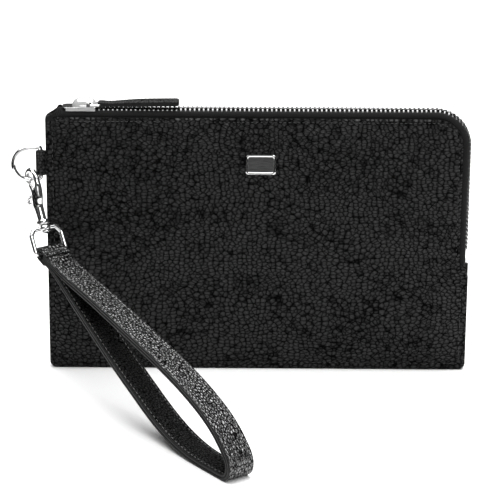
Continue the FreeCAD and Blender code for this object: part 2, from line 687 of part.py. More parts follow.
def make_strap_eye():
    """The bent-wire eye that the strap is looped through, turning on the swivel rivet."""
    eye = new_body("strap_eye")
    top = STEM_LONG - value("collar_low") - 1.6
    wire_loop(eye, [
        ("0", "0"), ("eye_half", "0"), ("eye_half", "eye_shoulder"), ("eye_top_half", "%.3f" % top),
        ("-eye_top_half", "%.3f" % top), ("-eye_half", "eye_shoulder"), ("-eye_half", "0")],
        "eye_wire", role="XZ_Plane", profile_role="YZ_Plane")
    boss = "%.3f" % (top - 1.4)
    disc(eye, "XY_Plane", "0", "0", "rivet_radius + 1.7", "2.8", offset=boss)
    disc(eye, "XY_Plane", "0", "0", "rivet_radius + 0.08", "6", offset="%.3f" % (top - 3),
         kind="Pocket", reverse=True)
    eye.Placement = Placement(STRAP_BAR, EYE_TURN)


# ---------------------------------------------------------------- wrist strap

# middle line of the strap from one clamped end round to the other, chosen by hand: distance out
# from the bar and height over it, with the loop's end resting on the surface
STRAP_ROUTE = [(4.4, -0.3), (8.4, -1.9), (12.6, -3.6), (24, -7.2), (37, -10), (60, -15.2),
               (95, -24), (132, -34.2), (152, -41.8), (167, -50), (176.6, -58.4),
               (181.2, -66.4), (179.2, -71.8), (172.6, -73.2), (159, -73.2), (145, -72.4),
               (130, -69.4), (111, -62.4), (95, -54.4), (76, -44.4), (58, -34), (36, -20.8),
               (22, -12.1), (11.6, -6.1), (7.4, -4.4), (3.4, -2.8)]
STRAP_STATIONS = 90


def strap_stations():
    """Points, side directions and half thicknesses along the strap's middle line."""
    curve = Part.BSplineCurve()
    curve.interpolate([Vector(s, 0, z) for s, z in STRAP_ROUTE])
    first, last = curve.FirstParameter, curve.LastParameter
    full, skived = value("strap_thick") / 2, value("strap_skived") / 2
    stations = []
    for i in range(STRAP_STATIONS + 1):
        at = first + (last - first) * i / STRAP_STATIONS
        point, run = curve.value(at), curve.tangent(at)[0]
        out = Vector(-run.z, 0, run.x)
        grown = min(max((point.x - 12) / 22, 0), 1)
        stations.append((point, out, skived + (full - skived) * grown))
    tightest = min(1 / abs(curve.curvature(first + (last - first) * i / 400)) for i in range(401)
                   if abs(curve.curvature(first + (last - first) * i / 400)) > 1e-6)
    print("strap: tightest radius %.1f mm" % tightest)
    return stations, curve.length()


def band(stations, low, high):
    """The layer of the strap between two fractions of its half thickness."""
    def side(fraction):
        curve = Part.BSplineCurve()
        curve.interpolate([p + out * (half * fraction) for p, out, half in stations])
        return curve.toShape()
    one, two = side(low), side(high)
    ends = [Part.LineSegment(one.lastVertex().Point, two.lastVertex().Point).toShape(),
            Part.LineSegment(two.firstVertex().Point, one.firstVertex().Point).toShape()]
    face = Part.Face(Part.Wire(Part.sortEdges([one, two] + ends)[0]))
    width = value("strap_width")
    solid = face.extrude(Vector(0, width, 0))
    solid.translate(Vector(0, -width / 2, 0))
    return solid


def make_strap():
    """The wrist strap: an outer and an inner leather over a filler, and the keeper that wraps the
    eye's bar and clamps both ends."""
    side = Vector(0, 0, 1).cross(STRAP_OUT)
    place = Placement(STRAP_BAR, Rotation(STRAP_OUT, side, Vector(0, 0, 1), "ZXY"))
    stations, length = strap_stations()
    print("strap: middle line %.0f mm, hanging loop %.0f mm" % (length, length / 2))
    for label, low, high in (("strap_outer", 0.12, 1.0), ("strap_filler", -0.12, 0.12),
                             ("strap_inner", -1.0, -0.12)):
        feature = new_feature(label, band(stations, low, high))
        feature.Placement = place

    keeper = new_body("strap_keeper")
    half = "strap_skived + 0.05 + keeper_leather"
    disc(keeper, "XZ_Plane", "0", "0", half, "strap_width", symmetric=True)
    prism(keeper, "XZ_Plane", [
        ("0", "-(%s)" % half), ("keeper_long", "-(%s)" % half), ("keeper_long", half),
        ("0", half)], "strap_width", symmetric=True)
    prism(keeper, "XZ_Plane", [
        ("3.4", "-strap_skived - 0.15"), ("keeper_long + 5", "-strap_skived - 0.35"),
        ("keeper_long + 5", "strap_skived + 0.35"), ("3.4", "strap_skived + 0.15")],
        "2 * strap_width", symmetric=True, kind="Pocket")
    disc(keeper, "XZ_Plane", "0", "0", "eye_wire + 0.08", "2 * strap_width", symmetric=True,
         kind="Pocket")
    tilt = Rotation(Vector(0, 1, 0), -value("keeper_pitch"))
    keeper.Placement = Placement(STRAP_BAR, place.Rotation.multiply(tilt))


# ---------------------------------------------------------------- badge

def make_badge():
    """A plain framed plate riveted to the front panel."""
    plate = new_body("badge_plate")
    half_w, half_h = "badge_width / 2", "badge_height / 2"
    frame = [("-(%s)" % half_w, "-(%s)" % half_h), (half_w, "-(%s)" % half_h),
             (half_w, half_h), ("-(%s)" % half_w, half_h)]
    prism(plate, "XZ_Plane", frame, "badge_thick")
    round_edges(plate, "2.2", lambda e: along(e, Vector(0, 1, 0)))
    sunk = [("%s - %s" % (x, sx), "%s - %s" % (y, sy)) for (x, y), (sx, sy) in
            zip(frame, (("(-1.4)", "(-1.4)"), ("1.4", "(-1.4)"), ("1.4", "1.4"),
                        ("(-1.4)", "1.4")))]
    prism(plate, "XZ_Plane", sunk, "0.4", offset="badge_thick", kind="Pocket")
    plate.Placement = Placement(Vector(1, -value("belly_half") - 0.02, value("badge_z")),
                                Rotation())


# ---------------------------------------------------------------- the document

make_leather_body()
make_welt()
make_zip()
make_slider()
make_pull()
make_ring()
make_hook()
make_strap_eye()
make_strap()
make_badge()
doc.recompute()

for thing in doc.Objects:
    if "Invalid" in thing.State or "Error" in thing.State:
        raise RuntimeError("%s failed: %s" % (thing.Label, thing.State))
os.makedirs("parts", exist_ok=True)
for part in parts:
    if part.Shape.isNull() or not part.Shape.isValid():
        raise RuntimeError("%s has no valid shape" % part.Label)
    part.Shape.exportStep("parts/%s.step" % part.Label)
    print("%-20s %8.1f mm3  %d solids" % (part.Label, part.Shape.Volume, len(part.Shape.Solids)))
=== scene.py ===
"""Looks of the wristlet wallet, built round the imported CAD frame.

Sizes are in millimetres in the row frame and become metres when a mesh is made. The wallet's
front faces -Y, +X runs away from the ring tab, and the ground is z = 0.
"""
import json
import math

import bmesh
import bpy
import numpy as np
from mathutils import Matrix, Vector, noise


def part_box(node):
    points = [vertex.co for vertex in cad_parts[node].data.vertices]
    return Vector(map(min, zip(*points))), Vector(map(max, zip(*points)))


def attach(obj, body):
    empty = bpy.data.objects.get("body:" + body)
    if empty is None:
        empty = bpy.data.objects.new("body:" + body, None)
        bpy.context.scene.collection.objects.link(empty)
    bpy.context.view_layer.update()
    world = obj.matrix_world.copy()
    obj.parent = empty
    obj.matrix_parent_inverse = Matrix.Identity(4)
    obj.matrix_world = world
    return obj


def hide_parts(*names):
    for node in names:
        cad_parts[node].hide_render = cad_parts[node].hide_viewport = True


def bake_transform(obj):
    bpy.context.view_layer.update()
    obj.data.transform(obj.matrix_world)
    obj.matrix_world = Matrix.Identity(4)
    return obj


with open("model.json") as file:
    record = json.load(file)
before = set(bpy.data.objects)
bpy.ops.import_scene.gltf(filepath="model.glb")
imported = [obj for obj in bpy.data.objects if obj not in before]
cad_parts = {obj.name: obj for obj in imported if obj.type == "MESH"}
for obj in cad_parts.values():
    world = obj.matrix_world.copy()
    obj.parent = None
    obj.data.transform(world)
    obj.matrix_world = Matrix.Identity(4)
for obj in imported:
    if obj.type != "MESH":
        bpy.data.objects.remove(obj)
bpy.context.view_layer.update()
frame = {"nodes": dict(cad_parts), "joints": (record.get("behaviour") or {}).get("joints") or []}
MM = 0.001
JOINTS = {joint["name"]: joint for joint in frame["joints"]}


def joint_place(name):
    return np.array(JOINTS[name]["pos_m"]) / MM


def joint_axis(name):
    axis = np.array(JOINTS[name]["axis"], float)
    return axis / np.linalg.norm(axis)


def node_box(name):
    low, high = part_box(name)
    return np.array(low) / MM, np.array(high) / MM


# ---------------- sizes, from the frame

panel_low, panel_high = node_box("back_panel")
HALF_WIDTH = (panel_high[0] - panel_low[0]) / 2
HEIGHT = panel_high[2]
BELLY = panel_high[1]
RIM = 4.0                      # half thickness at the sewn edges
LIP = 6.5                      # half thickness at the zipped edges
LEATHER = 2.0
SIDE = 114.5                   # the leather's edge beside the side zip
CORNER = 16.0                  # its corner radius at the zip's corner
STOP_Z = node_box("bottom_stop")[0][2] - 0.4
TAPE_RISE = 3.9                # top of the tapes above the leather's edge
TAPE_OUT = 4.6                 # outer face of a tape from the middle plane
TAPE_INNER = 2.45              # inner edge of a tape, under the teeth
TOOTH_MIDDLE = 3.8             # middle of the teeth above the leather's edge
TOOTH_PITCH = 2.54
TOOTH_THICK = 1.2              # along the zip
FIRST_TOOTH = -104.8
SEAM_INSET = 4.0               # the seam's groove inside the sewn edges
UP = np.array([0.0, 0.0, 1.0])
SIDES = ((-1, "front"), (1, "back"))

HANG = joint_place("hook_swing")
STRAP_BAR = joint_place("strap_hinge")
BAR_RUN = joint_axis("strap_hinge")
STEM_UP = joint_axis("swivel")
STRAP_OUT = np.cross(BAR_RUN, UP)
STEM_LONG = np.linalg.norm(HANG - STRAP_BAR)
GATE_AXIS = joint_axis("gate_hinge")
HOOK_NORMAL = -GATE_AXIS
GATE_SIDE = np.cross(HOOK_NORMAL, STEM_UP)


# ---------------- mesh helpers

def mesh_object(name, points, faces, materials, smooth=True, uvs=None, slots=None):
    """A mesh from points in millimetres, with a UV pair for each corner and a slot per face."""
    mesh = bpy.data.meshes.new(name)
    mesh.from_pydata([Vector(p) * MM for p in points], [], faces)
    for material in materials:
        mesh.materials.append(material)
    if uvs is not None:
        layer = mesh.uv_layers.new(name="UVMap")
        layer.data.foreach_set("uv", np.array(uvs, np.float32).ravel())
    if slots is not None:
        mesh.polygons.foreach_set("material_index", slots)
    mesh.polygons.foreach_set("use_smooth", [smooth] * len(faces))
    mesh.update()
    piece = bpy.data.objects.new(name, mesh)
    bpy.context.scene.collection.objects.link(piece)
    return piece


def grid_faces(rows, columns, wrap=False, offset=0, flip=False):
    """Quads over a grid of points and, for each quad, its row and column."""
    faces, cells = [], []
    for i in range(rows - 1):
        for j in range(columns if wrap else columns - 1):
            k = (j + 1) % columns
            quad = [offset + i * columns + j, offset + i * columns + k,
                    offset + (i + 1) * columns + k, offset + (i + 1) * columns + j]
            faces.append(quad[::-1] if flip else quad)
            cells.append((i, j))
    return faces, cells


def run_lengths(path):
    """The length run at each point of a path, from its first point."""
    return np.concatenate([[0], np.cumsum(np.linalg.norm(np.diff(path, axis=0), axis=1))])


def sampled(at, run, values):
    """Values known along a run, read at other places along it."""
    return np.stack([np.interp(at, run, values[:, k]) for k in range(values.shape[1])], axis=1)


def unit(vectors):
    """Rows scaled to a length of 1."""
    return vectors / np.linalg.norm(vectors, axis=1)[:, None]


def swept(name, sections, materials, slot_of=None, flip=False, closed=False):
    """A skin over a row of closed sections. Its UVs are the lengths along and round it."""
    grid = np.array(sections, float)
    if closed:
        grid = np.concatenate([grid, grid[:1]])
    rows, columns = grid.shape[:2]
    kept = rows - 1 if closed else rows
    points = grid[:kept].reshape(-1, 3)
    faces, cells = grid_faces(rows, columns, wrap=True, flip=flip)
    if closed:
        faces = [[v % (kept * columns) for v in face] for face in faces]
    along = run_lengths(grid.mean(1))
    around = run_lengths(np.concatenate([grid[0], grid[0][:1]]))
    uvs = []
    for i, j in cells:
        corners = [(i, j), (i, j + 1), (i + 1, j + 1), (i + 1, j)]
        for r, c in corners[::-1] if flip else corners:
            uvs.append((along[r] * MM, around[c] * MM))
    slots = [slot_of(j) if slot_of else 0 for _, j in cells]
    if not closed:
        first = list(range(columns))
        last = [(rows - 1) * columns + j for j in range(columns)]
        for cap in ((first if flip else first[::-1]), (last[::-1] if flip else last)):
            faces.append(cap)
            uvs += [(0.0, 0.0)] * columns
            slots.append(0)
    return mesh_object(name, points, faces, materials, uvs=uvs, slots=slots)


def smooth_path(points, count):
    """Evenly spaced points on a natural cubic spline through a few points."""
    knots = np.array(points, float)
    steps = np.linalg.norm(np.diff(knots, axis=0), axis=1)
    at = run_lengths(knots)
    size = len(knots)
    system, right = np.eye(size), np.zeros_like(knots)
    for i in range(1, size - 1):
        system[i, i - 1:i + 2] = steps[i - 1], 2 * (steps[i - 1] + steps[i]), steps[i]
        right[i] = 6 * ((knots[i + 1] - knots[i]) / steps[i]
                        - (knots[i] - knots[i - 1]) / steps[i - 1])
    bend = np.linalg.solve(system, right)

    def curve(places):
        i = np.clip(np.searchsorted(at, places, side="right") - 1, 0, size - 2)
        width = steps[i][:, None]
        b = (places - at[i])[:, None] / width
        a = 1 - b
        return (a * knots[i] + b * knots[i + 1]
                + ((a ** 3 - a) * bend[i] + (b ** 3 - b) * bend[i + 1]) * width ** 2 / 6)

    fine = curve(np.linspace(0, at[-1], count * 8))
    run = run_lengths(fine)
    return sampled(np.linspace(0, run[-1], count), run, fine)


def tangents(path, closed=False):
    if closed:
        runs = np.roll(path, -1, axis=0) - np.roll(path, 1, axis=0)
    else:
        runs = np.gradient(path, axis=0)
    return unit(runs)


def ring_points(count, width, height, power=2.0):
    """A closed section: an ellipse, or with a higher power a rounded box."""
    turn = np.linspace(0, 2 * math.pi, count, endpoint=False)
    c, s = np.cos(turn), np.sin(turn)
    return np.stack([np.sign(c) * np.abs(c) ** (2 / power) * width,
                     np.sign(s) * np.abs(s) ** (2 / power) * height], axis=1)


def mirrored(half):
    """Half an outline that ends on its middle line, and its mirror image."""
    return half + [(-a, b) for a, b in half[-2::-1]]


def tube(name, path, radius, material, normal, closed=False, segments=14):
    """Round wire along a path that lies square to the normal."""
    path = np.array(path, float)
    runs = tangents(path, closed)
    section = ring_points(segments, radius, radius)
    sections = []
    for place, run in zip(path, runs):
        out = np.cross(run, normal)
        sections.append([place + out * a + np.array(normal) * b for a, b in section])
    return swept(name, sections, [material], closed=closed)


def lathe(name, profile, place, axis, material):
    """A turned piece: pairs of radius and height along the axis."""
    across = np.cross(axis, [0.3, 0.9, 0.2])
    across /= np.linalg.norm(across)
    other = np.cross(axis, across)
    turn = np.linspace(0, 2 * math.pi, 40, endpoint=False)
    sections = [[place + axis * height + radius * (across * math.cos(t) + other * math.sin(t))
                 for t in turn] for radius, height in profile]
    return swept(name, sections, [material])


def rounded_corners(corners, radius, steps=6):
    """A closed outline with its corners rounded, from a few corners in a plane."""
    corners = np.array(corners, float)
    count = len(corners)
    radii = radius if hasattr(radius, "__len__") else [radius] * count
    out = []
    for i in range(count):
        here, before, after = corners[i], corners[i - 1], corners[(i + 1) % count]
        one, two = before - here, after - here
        one, two = one / np.linalg.norm(one), two / np.linalg.norm(two)
        half = math.acos(np.clip(one @ two, -1, 1)) / 2
        reach = radii[i] / math.tan(half)
        for step in range(steps + 1):
            t = step / steps
            start, end = here + one * reach, here + two * reach
            out.append((1 - t) ** 2 * start + 2 * t * (1 - t) * here + t ** 2 * end)
    return np.array(out)


def plate(name, outline, thick, place, axes, material, bevel):
    """A flat piece with rounded rims: an outline in the first two axes, built up the third."""
    steps = 4
    outline = np.array(outline, float)
    centre = outline.mean(0)
    sections = []
    one, two, three = (np.array(a, float) for a in axes)
    size = np.abs(outline - centre).max()
    rims = []
    for k in range(steps + 1):
        angle = math.pi / 2 * k / steps
        rims.append((bevel * (1 - math.sin(angle)), bevel * (1 - math.cos(angle))))
    levels = rims + [(inset, thick - rise) for inset, rise in rims[::-1]]
    for inset, rise in levels:
        shrunk = centre + (outline - centre) * (1 - inset / size)
        sections.append([place + one * p[0] + two * p[1] + three * rise for p in shrunk])
    return swept(name, sections, [material])


def join(name, pieces):
    """Makes one object of several, which keeps each one's materials."""
    bpy.ops.object.select_all(action="DESELECT")
    for piece in pieces:
        piece.select_set(True)
    bpy.context.view_layer.objects.active = pieces[0]
    bpy.ops.object.join()
    pieces[0].name = name
    pieces[0].data.name = name
    return pieces[0]


def carve(piece, cutter):
    """Cuts the cutter out of a piece and removes the cutter."""
    modifier = piece.modifiers.new("Cut", "BOOLEAN")
    modifier.operation = "DIFFERENCE"
    modifier.solver = "EXACT"
    modifier.object = cutter
    graph = bpy.context.evaluated_depsgraph_get()
    mesh = bpy.data.meshes.new_from_object(piece.evaluated_get(graph))
    piece.modifiers.clear()
    piece.data = mesh
    bpy.data.objects.remove(cutter)
    sharp_by_angle(piece)


def sharp_by_angle(piece, degrees=38):
    """Smooth shading that keeps the edges sharper than the angle."""
    mesh = piece.data
    work = bmesh.new()
    work.from_mesh(mesh)
    limit = math.radians(degrees)
    for edge in work.edges:
        flat = len(edge.link_faces) != 2
        edge.smooth = not (flat or edge.calc_face_angle(0.0) > limit)
    work.to_mesh(mesh)
    work.free()
    mesh.polygons.foreach_set("use_smooth", [True] * len(mesh.polygons))


def fix_normals(piece):
    """Turns all faces outwards."""
    work = bmesh.new()
    work.from_mesh(piece.data)
    bmesh.ops.recalc_face_normals(work, faces=work.faces)
    work.to_mesh(piece.data)
    work.free()


def dress(names, material):
    """Gives CAD nodes that stay in the scene their material."""
    for name in names:
        slots = frame["nodes"][name].data.materials
        slots.clear()
        slots.append(material)


def stitch_row(name, places, runs, ups, material, long, thick, sink):
    """Thread stitches, each a small bent capsule that dives into the leather at both ends."""
    points, faces = [], []
    rings, segments = 5, 6
    for place, run, up in zip(places, runs, ups):
        side = np.cross(up, run)
        base = len(points)
        for i in range(rings):
            t = i / (rings - 1) * 2 - 1
            width = thick / 2 * (1 - 0.55 * t * t)
            lift = thick / 2 * (1 - 1.5 * t * t) - sink
            for j in range(segments):
                turn = 2 * math.pi * j / segments
                points.append(place + run * (t * long / 2) + side * (width * math.cos(turn))
                              + up * (lift + width * math.sin(turn)))
        quads, _ = grid_faces(rings, segments, wrap=True, offset=base)
        faces += quads
        faces.append([base + j for j in range(segments)][::-1])
        faces.append([base + (rings - 1) * segments + j for j in range(segments)])
    return mesh_object(name, points, faces, [material])


# ---------------- materials

def new_material(name, colour, roughness, metallic=0.0):
    """A material with its node tree and its shader."""
    material = bpy.data.materials.new(name)
    material.use_nodes = True
    tree = material.node_tree
    shader = tree.nodes["Principled BSDF"]
    shader.inputs["Base Color"].default_value = (*colour, 1)
    shader.inputs["Roughness"].default_value = roughness
    shader.inputs["Metallic"].default_value = metallic
    return material, tree, shader


def add(tree, kind, **values):
    """A node with its properties and sockets set by name."""
    node = tree.nodes.new(kind)
    for key, setting in values.items():
        if key in node.inputs:
            node.inputs[key].default_value = setting
        else:
            setattr(node, key, setting)
    return node


def link(tree, source, target):
    tree.links.new(source, target)


def maths(tree, operation, one, two=None):
    node = add(tree, "ShaderNodeMath", operation=operation)
    for index, term in enumerate((one, two)):
        if term is None:
            continue
        if isinstance(term, (int, float)):
            node.inputs[index].default_value = term
        else:
            link(tree, term, node.inputs[index])
    return node.outputs[0]


def coordinates(tree, kind="Object", scale=(1, 1, 1)):
    """Texture coordinates in millimetres, stretched by the scale."""
    source = add(tree, "ShaderNodeTexCoord")
    mapping = add(tree, "ShaderNodeMapping")
    mapping.inputs["Scale"].default_value = [s / MM for s in scale]
    link(tree, source.outputs[kind], mapping.inputs["Vector"])
    return mapping.outputs["Vector"]


def noise_texture(tree, vector, scale, detail=2.0, roughness=0.5, output="Fac"):
    node = add(tree, "ShaderNodeTexNoise", Scale=scale, Detail=detail, Roughness=roughness)
    link(tree, vector, node.inputs["Vector"])
    return node.outputs[output]


def wave_texture(tree, vector, scale, distortion, direction, output="Fac", detail_scale=1.0):
    node = add(tree, "ShaderNodeTexWave", Scale=scale, Distortion=distortion,
               bands_direction=direction)
    node.inputs["Detail Scale"].default_value = detail_scale
    link(tree, vector, node.inputs["Vector"])
    return node.outputs[output]


def warped(tree, vector, scale, amount):
    """The coordinates pushed about by noise."""
    push = noise_texture(tree, vector, scale, output="Color")
    centred = add(tree, "ShaderNodeVectorMath", operation="SUBTRACT")
    link(tree, push, centred.inputs[0])
    centred.inputs[1].default_value = (0.5, 0.5, 0.5)
    scaled = add(tree, "ShaderNodeVectorMath", operation="SCALE")
    link(tree, centred.outputs[0], scaled.inputs[0])
    scaled.inputs["Scale"].default_value = amount
    total = add(tree, "ShaderNodeVectorMath", operation="ADD")
    link(tree, vector, total.inputs[0])
    link(tree, scaled.outputs[0], total.inputs[1])
    return total.outputs[0]


def ramp(tree, source, stops, target):
    """Turns a value into greys between the stops, for the target socket."""
    node = add(tree, "ShaderNodeValToRGB")
    elements = node.color_ramp.elements
    while len(elements) < len(stops):
        elements.new(0.5)
    for element, (place, grey) in zip(elements, stops):
        element.position = place
        element.color = (grey, grey, grey, 1)
    link(tree, source, node.inputs["Fac"])
    link(tree, node.outputs["Color"], target)


def weighted(tree, *terms):
    """The sum of values, each multiplied by its weight."""
    total = None
    for value, weight in terms:
        part = maths(tree, "MULTIPLY", value, weight)
        total = part if total is None else maths(tree, "ADD", total, part)
    return total


def pebbles(tree, vector, scale):
    """Leather grain: 1 on the round tops of the pebbles, falling to 0 in the creases."""
    edges = add(tree, "ShaderNodeTexVoronoi", feature="DISTANCE_TO_EDGE", Scale=scale,
                Randomness=0.8)
    domes = add(tree, "ShaderNodeTexVoronoi", feature="F1", Scale=scale, Randomness=0.8)
    for cells in (edges, domes):
        link(tree, vector, cells.inputs["Vector"])
    across = maths(tree, "MINIMUM", maths(tree, "MULTIPLY", edges.outputs["Distance"], 2.2), 1.0)
    crease = maths(tree, "POWER", across, 0.6)
    fall = maths(tree, "POWER", maths(tree, "MULTIPLY", domes.outputs["Distance"], 1.25), 2.0)
    dome = maths(tree, "MAXIMUM", maths(tree, "SUBTRACT", 1.0, fall), 0.0)
    return weighted(tree, (crease, 0.72), (dome, 0.28))


def bump(tree, shader, height, distance):
    """Relief of a depth in millimetres."""
    node = add(tree, "ShaderNodeBump", Strength=1.0, Distance=distance * MM)
    link(tree, height, node.inputs["Height"])
    link(tree, node.outputs["Normal"], shader.inputs["Normal"])


def leather_material(name, pebble, stretch, dark, light, rough, relief, shine, kind="UV",
                     ior=1.5):
    """Black pebbled leather: domed pebbles of two sizes pushed about by noise, with painted
    shade darkening the creases and painted highlight lightening the pebble tops in the base
    colour, and duller in the creases. Pebble is their size in millimetres."""
    material, tree, shader = new_material(name, (dark,) * 3, rough[0])
    vector = coordinates(tree, kind, (stretch[0], stretch[1], stretch[0]))
    vector = warped(tree, vector, 0.018, pebble * 4)
    vector = warped(tree, vector, 0.45 / pebble, pebble * 0.3)
    large = pebbles(tree, vector, 1 / pebble)
    small = pebbles(tree, vector, 1.75 / pebble)
    fine = noise_texture(tree, vector, 1.6 / pebble, 3.0, 0.6)
    patches = noise_texture(tree, vector, 0.05, 3.0)
    height = weighted(tree, (large, 0.86), (small, 0.1), (fine, 0.24))
    patch = maths(tree, "ADD", maths(tree, "MULTIPLY", patches, 0.3), 0.8)
    # painted shade and highlight: the base colour is darkened in the creases and lightened on the
    # pebble tops
    painted_grain_shading = maths(tree, "MULTIPLY", height, patch)
    ramp(tree, painted_grain_shading, [(0.2, dark), (0.5, dark + (light - dark) * 0.6), (0.8, light)],
         shader.inputs["Base Color"])
    ramp(tree, height, [(0.3, rough[0]), (0.95, rough[1])], shader.inputs["Roughness"])
    ramp(tree, height, [(0.35, 0.0), (1.0, shine)], shader.inputs["Specular IOR Level"])
    bump(tree, shader, height, relief)
    shader.inputs["IOR"].default_value = ior
    return material


def edge_paint_material():
    """Painted leather edge: smooth dark grey with slight waves."""
    material, tree, shader = new_material("edge_paint", (0.01, 0.01, 0.01), 0.5)
    shader.inputs["Specular IOR Level"].default_value = 0.2
    vector = coordinates(tree)
    waves = noise_texture(tree, vector, 0.5, 3.0)
    ramp(tree, waves, [(0.3, 0.002), (0.7, 0.006)], shader.inputs["Base Color"])
    bump(tree, shader, waves, 0.12)
    return material


def thread_material(name, dark, light):
    """Waxed black thread with its twist; a light tone well above black is painted highlight."""
    material, tree, shader = new_material(name, (dark,) * 3, 0.42)
    vector = coordinates(tree)
    twist = wave_texture(tree, vector, 1.6, 1.0, "DIAGONAL", "Color")
    ramp(tree, twist, [(0.2, dark), (0.9, light)], shader.inputs["Base Color"])
    bump(tree, shader, twist, 0.06)
    return material


def twill_material():
    """Black zip tape: a fine slanting weave with a little fluff."""
    material, tree, shader = new_material("tape_twill", (0.01, 0.01, 0.01), 0.85)
    vector = coordinates(tree, "UV")
    slant = wave_texture(tree, vector, 0.55, 0.6, "DIAGONAL", detail_scale=2.0)
    ribs = wave_texture(tree, vector, 0.62, 0.4, "X")
    fluff = noise_texture(tree, vector, 1.2, 4.0, 0.7)
    weave = weighted(tree, (slant, 0.7), (ribs, 0.4), (fluff, 0.5))
    ramp(tree, weave, [(0.45, 0.001), (1.0, 0.012)], shader.inputs["Base Color"])
    bump(tree, shader, weave, 0.14)
    shader.inputs["Sheen Weight"].default_value = 0.04
    shader.inputs["Specular IOR Level"].default_value = 0.15
    shader.inputs["Sheen Roughness"].default_value = 0.5
    return material


def lining_material():
    """Charcoal lining cloth in plain weave."""
    material, tree, shader = new_material("lining_cloth", (0.03, 0.03, 0.033), 0.9)
    vector = coordinates(tree)
    weave = maths(tree, "MULTIPLY", wave_texture(tree, vector, 0.9, 0.3, "X"),
                  wave_texture(tree, vector, 0.9, 0.3, "Z"))
    ramp(tree, weave, [(0.0, 0.012), (0.9, 0.05)], shader.inputs["Base Color"])
    bump(tree, shader, weave, 0.1)
    return material


def metal_material(name, tone, rough, metallic=0.97):
    """Polished plated metal with faint swirls from handling and polishing."""
    material, tree, shader = new_material(name, (tone,) * 3, rough[0], metallic)
    vector = coordinates(tree)
    cloud = noise_texture(tree, vector, 0.9, 4.0, 0.6)
    ramp(tree, cloud, [(0.35, rough[0]), (0.7, rough[1])], shader.inputs["Roughness"])
    ramp(tree, cloud, [(0.3, tone * 0.93), (0.7, tone)], shader.inputs["Base Color"])
    bump(tree, shader, cloud, 0.02)
    return material


def brushed_material():
    """The badge's sunk field: dark metal brushed along the width."""
    material, tree, shader = new_material("badge_field", (0.2,) * 3, 0.35, 1.0)
    vector = coordinates(tree, "Object", (0.15, 1, 9))
    lines = noise_texture(tree, vector, 1.0, 3.0, 0.6)
    ramp(tree, lines, [(0.3, 0.02), (0.7, 0.13)], shader.inputs["Base Color"])
    ramp(tree, lines, [(0.3, 0.5), (0.7, 0.28)], shader.inputs["Roughness"])
    bump(tree, shader, lines, 0.05)
    return material


PANEL = leather_material("panel_leather", 2.4, (0.85, 1.15), 0.001, 0.012, (0.5, 0.36), 1.0, 0.27)
STRAP = leather_material("strap_leather", 1.35, (0.6, 1.0), 0.001, 0.006, (0.32, 0.14), 0.9, 1.0,
                         ior=2.0)
# the strap's inner leather is painted darker than its outer face, as painted shade for the inside
# of the loop
STRAP_BACK_PAINTED_SHADE = leather_material("strap_back_painted_shade", 1.3, (0.8, 1.0), 0.0006, 0.003, (0.45, 0.3), 0.8, 0.5)
SMALL_LEATHER = leather_material("small_leather", 1.3, (0.8, 1.0), 0.002, 0.02, (0.5, 0.34), 0.6,
                                 0.4, kind="Object")
PULL_LEATHER = leather_material("pull_grain", 1.1, (0.8, 1.0), 0.002, 0.02, (0.5, 0.34), 0.4,
                                0.35, kind="Object")
EDGE = edge_paint_material()
THREAD = thread_material("panel_thread", 0.008, 0.045)
# the strap's black thread is painted light grey, as painted highlight for the gloss of the thread
STRAP_THREAD_PAINTED_HIGHLIGHT = thread_material("strap_thread_painted_highlight", 0.06, 0.3)
TWILL = twill_material()
LINING = lining_material()
CHROME = metal_material("chrome", 0.78, (0.05, 0.13))
CAP_METAL = metal_material("cap_metal", 0.85, (0.06, 0.14), 0.6)
TEETH = metal_material("tooth_metal", 0.22, (0.1, 0.2))
STOP = metal_material("stop_metal", 0.12, (0.25, 0.35))
FIELD = brushed_material()


# ---------------- the leather panels

def ease(t):
    t = np.clip(t, 0, 1)
    return t * t * (3 - 2 * t)


def sewn_share(z):
    """1 where the right edge is sewn, below the zip's lower end, and 0 beside the zip."""
    return 1 - ease((z - STOP_Z + 5) / 7)


def edge_distances(x, z):
    """Distance in from the sewn edges and from the zipped edges, at a place on a panel."""
    soft = 4.0                 # corner radius at the bottom
    far = 60.0                 # stands for an edge that isn't at this height
    sewn = np.minimum(x + HALF_WIDTH, z)
    both = (x < soft - HALF_WIDTH) & (z < soft)
    sewn = np.where(both, soft - np.hypot(x + HALF_WIDTH - soft, z - soft), sewn)
    right = np.where((x > HALF_WIDTH - soft) & (z < soft),
                     soft - np.hypot(x - HALF_WIDTH + soft, z - soft), HALF_WIDTH - x)
    share = sewn_share(z)
    sewn = np.minimum(sewn, right * share + far * (1 - share))
    zipped = np.minimum(HEIGHT - z, (SIDE - x) * (1 - share) + far * share)
    turn = (x > SIDE - CORNER) & (z > HEIGHT - CORNER)
    zipped = np.where(turn, CORNER - np.hypot(x - SIDE + CORNER, z - HEIGHT + CORNER), zipped)
    return sewn, zipped


def outer_depth(x, z):
    """How far the leather's outer face stands out from the wallet's middle plane."""
    sewn, zipped = edge_distances(x, z)
    sewn, zipped = np.maximum(sewn, 0), np.maximum(zipped, 0)
    from_seam = RIM + (BELLY - RIM) * (1 - np.exp(-np.maximum(sewn - 3, 0) / 9.5))
    from_zip = LIP + (BELLY - LIP) * (1 - np.exp(-zipped / 8))
    blend = 0.45
    depth = -blend * np.log(np.exp(-from_seam / blend) + np.exp(-from_zip / blend))
    # the groove and the bead of the sewn seam, then of the zip's seam
    depth -= 0.55 * np.exp(-((sewn - SEAM_INSET) / 0.55) ** 2)
    depth += 0.22 * np.exp(-((sewn - 1.9) / 1.0) ** 2)
    depth -= 0.16 * np.exp(-((zipped - 2.0) / 0.4) ** 2)
    depth += 0.14 * np.exp(-((zipped - 1.0) / 0.6) ** 2)
    roll = 1.1
    for distance in (sewn, zipped):
        near = np.clip(1 - distance / roll, 0, 1)
        depth -= roll * 0.85 * (1 - np.sqrt(1 - near ** 2))
    return depth


